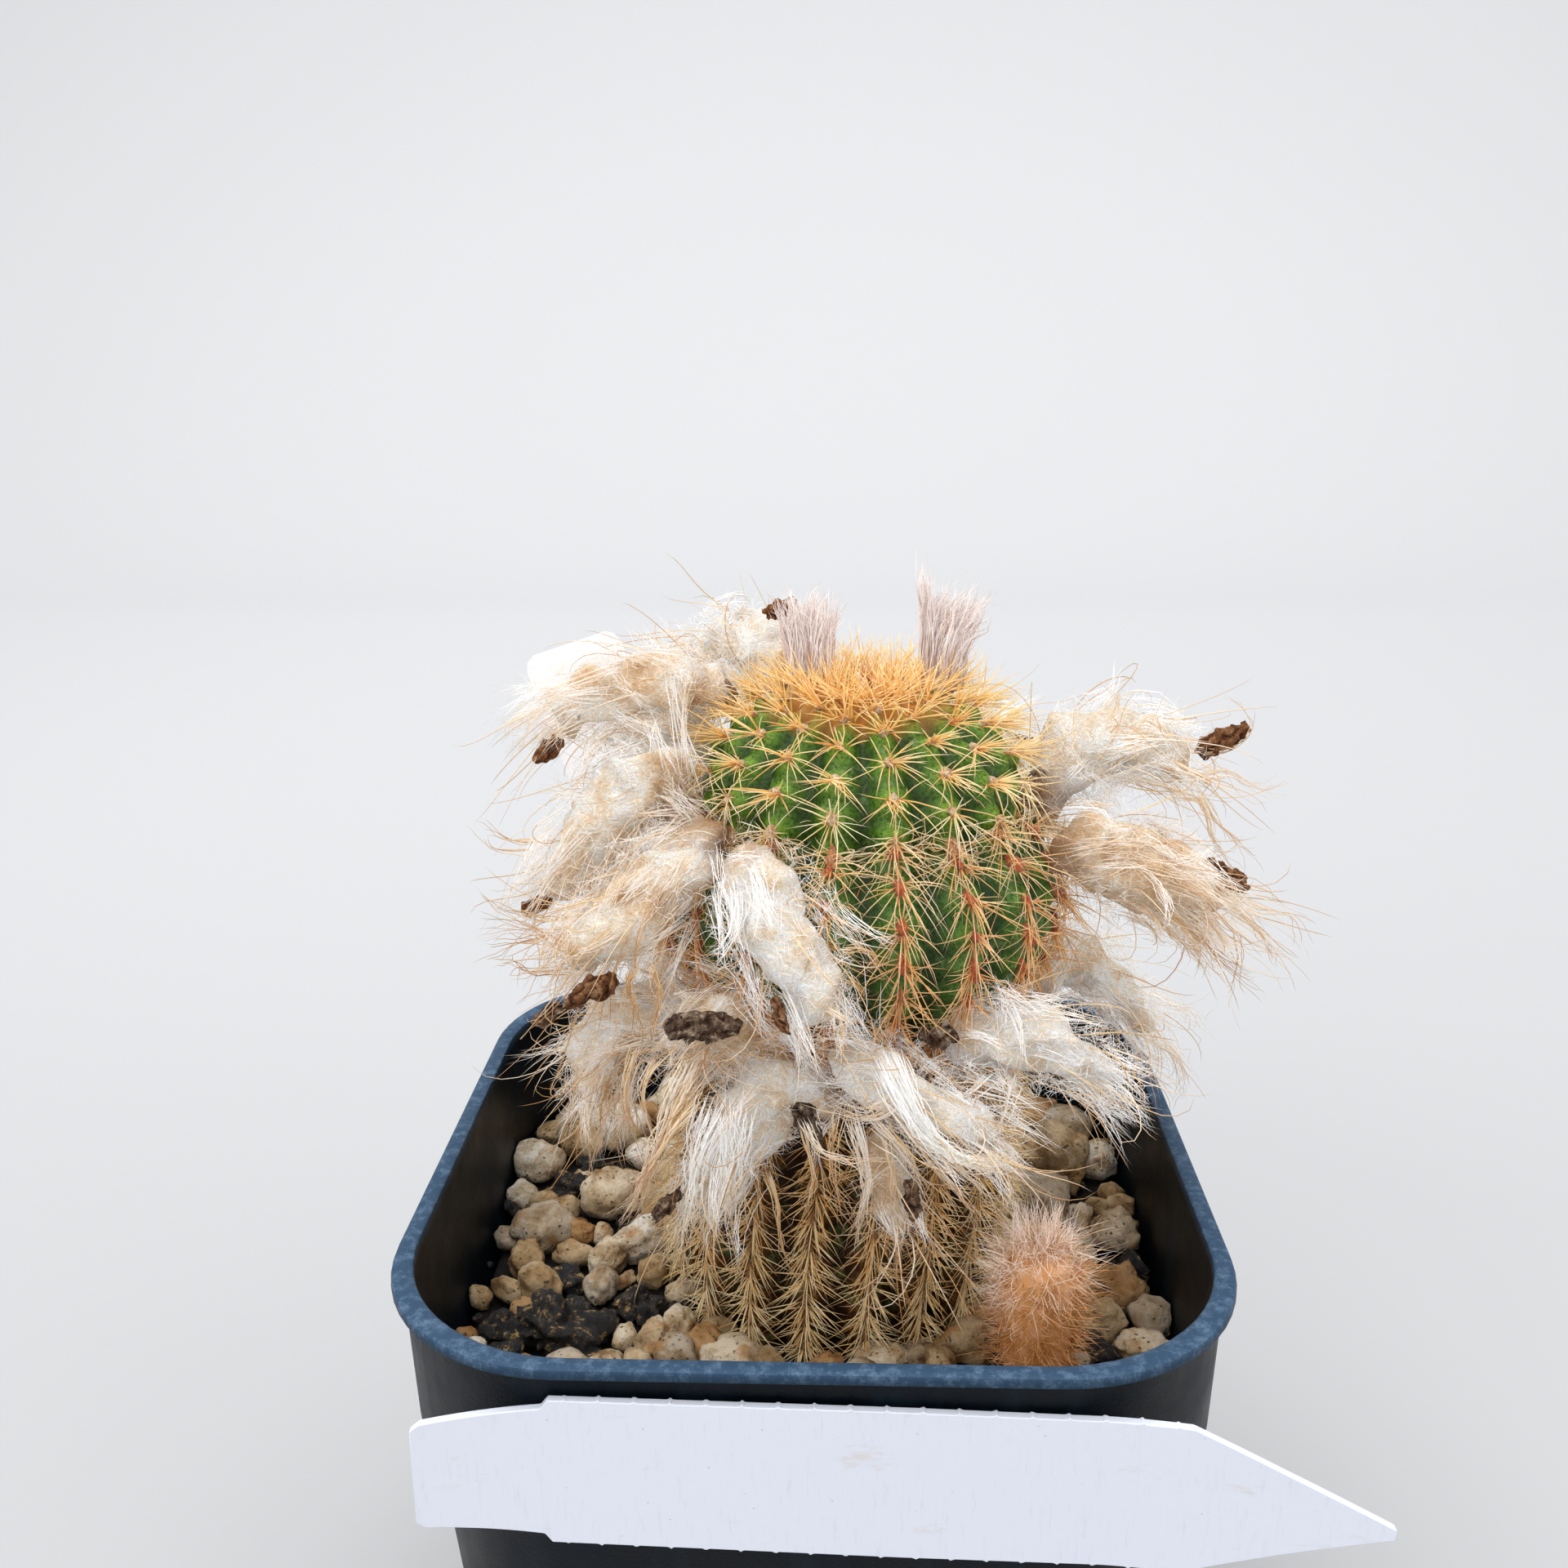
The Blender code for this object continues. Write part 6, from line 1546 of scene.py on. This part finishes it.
def neck_strings(line, draw):
    """The dry, stringy neck that ties a fruit to its areole."""
    for _ in range(NECK_STRINGS):
        turn, out = draw.uniform(0, math.tau), draw.uniform(0.2, 1.0)
        twist = draw.gauss(0.6, 0.5)
        points = []
        for index in range(8):
            t = index / 7
            middle, _, side, up = line.at(0.02 + 0.3 * t)
            wide = (0.75 + 2.0 * t * t) * MM * out
            place = middle + round_line(side, up, turn + twist * t) * wide
            points.append(place + shaken(place, 1.5 * MM, turn) * 0.25 * MM)
        radii = tapered(8, BRISTLE * draw.uniform(1.0, 1.9), tip=0.4)
        yield points, radii, draw.uniform(0.0, 0.3), draw.uniform(0.7, 1.0)


def curled_bristles(line, thickest, count, draw):
    """Wiry bristles that stand out of the wool, mostly towards its end, and hook at their tips."""
    for _ in range(count):
        start, turn = 0.12 + 0.82 * draw.random() ** 0.75, draw.uniform(0, math.tau)
        middle, tangent, side, up = line.at(start)
        across = round_line(side, up, turn)
        place = middle + across * thickest * MM * belly(start) * draw.uniform(0.5, 0.9)
        heading = (tangent * 0.95 + across * draw.uniform(0.15, 0.75)).normalized()
        axis = heading.cross(any_way(draw)).normalized()
        bend = draw.gauss(0, 0.16)
        hook = draw.choice((-1, 1)) * abs(draw.gauss(0.14, 0.16))
        step = BRISTLE_LENGTH * draw.uniform(0.5, 1.15) / 8
        points = []
        for index in range(9):
            points.append(place.copy())
            place = place + heading * step
            heading.rotate(Matrix.Rotation(bend + hook * max(0.0, index - 3) * 0.6, 3, axis))
            heading = (heading + Vector((0, 0, -0.035))).normalized()
        yield points, tapered(9, BRISTLE * draw.uniform(0.6, 1.05), tip=0.3), draw.uniform(0.0, 0.6), 0.0


def make_fruits(felted, wool, bristle, petals):
    """All dried fruits: a matted core, its wool, its bristles and the withered flower on it. The whiter a
    fruit is, the more of its wool is matted, and the less is combed into locks."""
    for index, (name, row) in enumerate(FRUITS.items()):
        angle, height, mids, thickest, flower, whiteness, bristles = row
        line = fruit_line(angle, height, mids)
        draw = random.Random(WOOL_SEED + index)
        # The core's tone is lower than its hair's, for painted shade under the loose hair
        make_core(name + "_core", line, thickest, felted, 0.2 + 0.46 * whiteness)
        size = (thickest / 4.4) ** 1.3 * line.length / (20 * MM)
        size *= 0.7 if name.startswith("fruit_back") else 1.0
        combed = 1.0 - 0.75 * whiteness
        seed = draw.uniform(0, 50)
        lines = list(matted_wool(line, thickest, int((1480 - 800 * combed) * size), whiteness, seed, draw))
        lines += wool_tufts(line, thickest, int((15 + 31 * combed) * size), whiteness, seed, draw)
        lines += neck_strings(line, draw)
        piece(name + "_wool", strands(name + "_wool", lines), wool)
        lines = list(curled_bristles(line, thickest, bristles, draw))
        piece(name + "_bristles", strands(name + "_bristles", lines), bristle)
        if flower:
            make_flower(name.replace("fruit", "dried_flower"), flower, petals)


def make_locks(look):
    """The long locks that hang and hook clear of the fruits."""
    draw = random.Random(WOOL_SEED + 90)
    for name, locks in LOCKS.items():
        lines = []
        for hairs, spread, tone, places in locks:
            path = [spline([point(*p) for p in places], i / 13) for i in range(14)]
            crimp = 1.5 if spread > 1.1 else 0.8
            lines += tuft(path, hairs, spread * MM, BRISTLE * 0.8, tone, draw, 4.0 * MM, crimp)
        piece(name, strands(name, lines), look)


def make_flower(name, flower, look):
    """A withered flower: a furrowed, crumbling twist with a narrow end, rooted in its fruit."""
    first, last, radius, tone = flower
    a, b = point(*first), point(*last)
    if (b - a).length < SHORTEST_FLOWER:
        a = a - (b - a).normalized() * (SHORTEST_FLOWER - (b - a).length)
    count = 30
    points = [a.lerp(b, i / (count - 1)) for i in range(count)]
    radii = [radius * MM * table(FLOWER_SHAPE, i / (count - 1)) for i in range(count)]
    radii[0] = radii[-1] = 0.0
    mesh = strands(name, [(points, radii, tone, 0.0)], sides=24)
    axis = (b - a).normalized()
    side = axis.orthogonal().normalized()
    furrows = []
    for vert in mesh.vertices:
        share = (vert.co - a).dot(axis)
        out = vert.co - a - axis * share
        turn = math.atan2(out.dot(axis.cross(side)), out.dot(side)) + share / MM * 0.3
        depth = 0.5 + 0.5 * math.sin(4 * turn + 3 * noise.noise(vert.co / (1.2 * MM)))
        furrows.append(depth)
        vert.co -= out * 0.4 * (1 - depth)
        push = shaken(vert.co, 2.2 * MM, radius) * 0.55 + shaken(vert.co, 0.6 * MM, tone) * 0.5
        vert.co += push * MM * min(1.0, radius)
    set_values(mesh, "furrow", furrows)
    piece(name + "_twist", mesh, look, [name])


def make_young_fruits(look, felt):
    """The two young fruits on the crown: silky columns that open into locks at the top."""
    for index, (name, (angle, height, mids, thickest, base, tips)) in enumerate(YOUNG_FRUITS.items()):
        draw = random.Random(WOOL_SEED + 60 + index)
        line = fruit_line(angle, height, mids)
        make_core(name + "_core", line, thickest * 0.4, felt, 0.3)
        lines = []
        for _ in range(YOUNG_HAIRS):
            turn, out = draw.uniform(0, math.tau), math.sqrt(draw.random())
            spot = Vector((2.1 * out * math.cos(turn), 1.7 * out * math.sin(turn), draw.uniform(-1.0, 3.0)))
            root = point(*base) + spot * MM
            share = 0.5 + 0.24 * spot.x + draw.gauss(0, 0.13)
            near = tips[min(max(int(share * len(tips)), 0), len(tips) - 1)]
            tip = point(*near) + Vector((draw.gauss(0, 0.4), draw.gauss(0, 0.6), draw.gauss(-0.2, 0.6))) * MM
            middle = root.lerp(tip, 0.5) + Vector((0.3 * (root.x - tip.x), 0, 0.1 * (tip.z - root.z)))
            reach = 0.5 + 0.5 * draw.random() ** 0.5
            points = []
            for step in range(6):
                t = step / 5 * reach
                place = root.lerp(middle, t).lerp(middle.lerp(tip, t), t)
                points.append(place + shaken(place, 1.7 * MM, turn) * 1.3 * MM * (0.15 + t * t))
            lines.append((points, tapered(6, WOOL * draw.uniform(0.9, 1.6)), draw.random(), 0.0))
        lines.extend(matted_wool(line, 1.3, YOUNG_MATTED_HAIRS, 0.3, index, draw))
        piece(name + "_hair", strands(name + "_hair", lines), look)


# Offset

def make_pup(look):
    """The small offset: a column under a dense fuzz that flares to its top, with loose wisps above."""
    x, y = PUP_CENTRE
    heights = [PUP_FOOT + (PUP_TOP - PUP_FOOT) * i / 15 for i in range(16)]
    points = [point(x, y, z - 0.05 * (z - PUP_FOOT)) for z in heights]
    radii = [PUP_BODY_RADIUS * MM * table(PUP_SHAPE, i / 15) for i in range(16)]
    radii[0] = radii[-1] = 0.0
    mesh = strands("offset_body", [(points, radii, 0.5, 0.0)], sides=24)
    for vert in mesh.vertices:
        vert.co += (shaken(vert.co, 2.4 * MM, 2) * 0.3 + shaken(vert.co, 0.9 * MM, 5) * 0.15) * MM
    piece("offset_body", mesh, look, ["offset"])
    draw = random.Random(PUP_SEED)
    lines = []
    for _ in range(PUP_HAIRS):
        share, turn = 0.3 + 0.7 * draw.random() ** 0.65, draw.uniform(0, math.tau)
        across = facing(turn)
        out = PUP_BODY_RADIUS * table(PUP_SHAPE, share) * MM
        out *= draw.uniform(0.8, 1.05) if share < 0.9 else draw.uniform(0.1, 1.0)
        seat = point(x, y, PUP_FOOT + (PUP_TOP - PUP_FOOT) * share) + across * out
        rise = 0.5 + 1.6 * max(0.0, share - 0.7) / 0.3
        direction = across * 0.75
        direction += Vector((draw.gauss(0, 0.4), draw.gauss(0, 0.4), rise * draw.uniform(-0.6, 1.0)))
        reach = draw.uniform(1.4, 2.7 + 0.9 * max(0.0, share - 0.7) / 0.3) * MM
        sag = Vector((draw.gauss(0, 0.45), draw.gauss(0, 0.45), draw.gauss(0, 0.4)))
        # Paler towards the top, and on the side that faces the overhead light, which is painted light
        age = min(1.0, max(0.0, (share - 0.6) * 1.8 + 0.2 * math.cos(turn - 2.6) + draw.gauss(0, 0.12)))
        radius = WOOL * draw.uniform(0.6, 1.0)
        lines.append(spine(seat, direction.normalized(), reach, sag, radius, 4, draw.random(), age))
    for wisp_x, wisp_y, wisp_z in WISPS:
        foot = Vector((x + 0.6 * wisp_x, y + wisp_y, PUP_TOP - 2.4))
        head = Vector((x + wisp_x, y + wisp_y, PUP_TOP + wisp_z))
        path = [point(*foot.lerp(head, t / 7)) for t in range(8)]
        wisp = tuft(path, 20, 1.2 * MM, WOOL * 0.9, 0.6, draw, 1.5 * MM)
        lines += [(hair, radii, tone, 0.7) for hair, radii, tone, _ in wisp]
    piece("offset_hair", strands("offset_hair", lines), look)


# Labels

def label_sheet(name, widths, bow, placed, look, replaced, columns, nibs=None):
    """A die-cut label: a fine sheet drawn to its outline, bowed, given its thickness and a softened edge."""
    length = widths[-1][0]
    bm = bmesh.new()
    bmesh.ops.create_grid(bm, x_segments=columns, y_segments=2, size=0.5)
    for vert in bm.verts:
        x = (vert.co.x + 0.5) * length
        half = table(widths, x)
        if nibs and nibs[0] < x < nibs[1] and abs(vert.co.y) > 0.49:
            off = abs((x - nibs[0] + NIB_PITCH / 2) % NIB_PITCH - NIB_PITCH / 2)
            half += NIB_HEIGHT * max(0.0, 1 - off / NIB_WIDTH)
        vert.co = Vector((x, vert.co.y * 2 * half, bow(x))) * MM
    bmesh.ops.solidify(bm, geom=bm.faces[:], thickness=-LABEL_THICK)
    bmesh.ops.transform(bm, matrix=placed, verts=bm.verts)
    obj = piece(name, mesh_of(bm, name), look, [replaced], angle=35)
    edge = obj.modifiers.new("Softened edge", "BEVEL")
    edge.width = 0.07 * MM
    edge.segments = 2
    edge.limit_method = "ANGLE"
    edge.angle_limit = math.radians(50)
    return obj


def front_bow(x):
    """How far the front label's ends stand off the wall, where the pot's corners turn away behind it."""
    left = max(0.0, FRONT_FLAT_FROM - x) / FRONT_FLAT_FROM
    right = max(0.0, x - FRONT_FLAT_TO) / (LABEL_LENGTH - FRONT_FLAT_TO)
    return HEAD_BOW * left ** 2 + POINT_BOW * right ** 1.5


def make_labels(front_look, stake_look):
    """The label on the front of the pot and the one that stands behind the plant."""
    x, z = FRONT_LABEL_HEAD
    draft = math.atan2(BAND_HALF - STEP_TOP_HALF, POT_HEIGHT - RIM_BAND - STEP_TOP)
    wall_at = BAND_HALF + z * MM * math.tan(draft)
    placed = (
        Matrix.Translation((x * MM, -wall_at - 0.3 * MM, POT_HEIGHT + z * MM))
        @ Matrix.Rotation(math.pi / 2 + draft, 4, "X")
        @ Matrix.Rotation(FRONT_LABEL_TURN, 4, "Z")
    )
    label_sheet(
        "front_label_sheet", FRONT_WIDTHS, front_bow, placed, front_look, "front_label",
        FRONT_COLUMNS, NIB_SPAN,
    )
    placed = (
        Matrix.Translation(point(*STAKE_TOP))
        @ Matrix.Rotation(math.pi / 2, 4, "X")
        @ Matrix.Rotation(-math.pi / 2 + STAKE_LEAN, 4, "Z")
        @ Matrix.Translation((0, 0, -LABEL_THICK / 2))
    )
    label_sheet(
        "stake_label_sheet", STAKE_WIDTHS, lambda x: 0.0, placed, stake_look, "stake_label", STAKE_COLUMNS,
    )


# Studio

def make_backdrop(look):
    """A pale floor that sweeps up into a backdrop, far behind the pot."""
    bm = bmesh.new()
    start = [bm.verts.new((x, 0.7, 0.0)) for x in (-2.5, 2.5)]
    edge = bm.edges.new(start)
    front = bmesh.ops.extrude_edge_only(bm, edges=[edge])["geom"]
    bmesh.ops.translate(bm, verts=[g for g in front if isinstance(g, bmesh.types.BMVert)], vec=(0, -3.0, 0))
    swept = bmesh.ops.spin(
        bm, geom=[edge], cent=(0, 0.7, 0.5), axis=(1, 0, 0), angle=math.pi / 2, steps=32, use_merge=False
    )["geom_last"]
    last = [g for g in swept if isinstance(g, bmesh.types.BMEdge)]
    wall = bmesh.ops.extrude_edge_only(bm, edges=last)["geom"]
    bmesh.ops.translate(bm, verts=[g for g in wall if isinstance(g, bmesh.types.BMVert)], vec=(0, 0, 2.0))
    bmesh.ops.remove_doubles(bm, verts=bm.verts, dist=1e-5)
    mesh = mesh_of(bm, "backdrop")
    obj = bpy.data.objects.new("backdrop", mesh)
    bpy.context.scene.collection.objects.link(obj)
    mesh.materials.append(look)
    mesh.shade_smooth()


def make_light(name, place, size, power, turn=None):
    """A soft square light. It faces the plant, unless it is given a turn of its own."""
    lamp = bpy.data.lights.new(name, "AREA")
    lamp.size = size
    lamp.energy = power
    obj = bpy.data.objects.new(name, lamp)
    obj.location = place
    obj.rotation_euler = turn or (Vector(place) - LIT_PLACE).to_track_quat("Z", "Y").to_euler()
    bpy.context.scene.collection.objects.link(obj)


def make_studio():
    """Plain soft daylight: a wide light overhead, one from the left front and an even surround."""
    make_light("overhead softbox", (-0.12, 0.05, 0.8), 0.7, 3.2)
    make_light("front softbox", (-0.5, -0.75, 0.6), 0.6, 3.2)
    make_light("side fill", (0.7, -0.35, 0.4), 0.6, 1.3)
    make_light("backdrop wash", (0, 0.25, 1.5), 2.4, 16.0, (math.radians(62), 0, 0))
    world = bpy.data.worlds.new("studio")
    bpy.context.scene.world = world
    world.use_nodes = True
    surround = world.node_tree.nodes["Background"]
    surround.inputs["Color"].default_value = linear("#f6f6f6")
    surround.inputs["Strength"].default_value = 0.85
    make_backdrop(studio_card())
    bpy.context.scene.view_settings.view_transform = "Standard"


def make_camera():
    """The camera at the photograph's place and angle."""
    back = Vector((
        math.sin(CAMERA_YAW) * math.cos(CAMERA_ELEVATION),
        -math.cos(CAMERA_YAW) * math.cos(CAMERA_ELEVATION),
        math.sin(CAMERA_ELEVATION),
    ))
    level = Vector((math.cos(CAMERA_YAW), math.sin(CAMERA_YAW), 0))
    upright = back.cross(level)
    right = level * math.cos(CAMERA_ROLL) + upright * math.sin(CAMERA_ROLL)
    up = upright * math.cos(CAMERA_ROLL) - level * math.sin(CAMERA_ROLL)
    lens = bpy.data.cameras.new("camera")
    lens.sensor_width = 36
    lens.lens = FOCAL_PIXELS / PICTURE_PIXELS * lens.sensor_width
    lens.clip_start = 1 * MM
    camera = bpy.data.objects.new("camera", lens)
    turned = Matrix((right, up, back)).transposed().to_4x4()
    camera.matrix_world = Matrix.Translation(point(*CAMERA_PLACE)) @ turned
    bpy.context.scene.collection.objects.link(camera)
    bpy.context.scene.camera = camera


def main():
    """Everything in the scene, built in one order so that its seeded pieces stay as they are."""
    noise.seed_set(NOISE_SEED)
    make_camera()
    make_studio()
    plastic = moulded_polypropylene()
    make_pot(plastic)
    lava = broken_lava()
    make_mix(damp_peat())
    make_grit(lava)
    make_lava(lava)
    make_stones(tumbled_pumice())
    make_stem(cactus_skin())
    horn = spine_horn()
    make_spines(horn, areole_felt())
    make_fold_scraps(horn)
    bristle = fruit_bristle()
    felt = felted_wool()
    make_fruits(felt, loose_wool(), bristle, withered_petals())
    make_locks(bristle)
    make_young_fruits(young_wool(), felt)
    make_pup(offset_hair())
    # The front label's vinyl is painted greyer than the stake's: painted shade on the same white vinyl
    make_labels(
        cut_vinyl("rigid white vinyl in painted shade", "#d6dae6", "#a8adbc"),
        cut_vinyl("bright rigid vinyl", "#fdfdff", "#e2e4ec"),
    )


main()
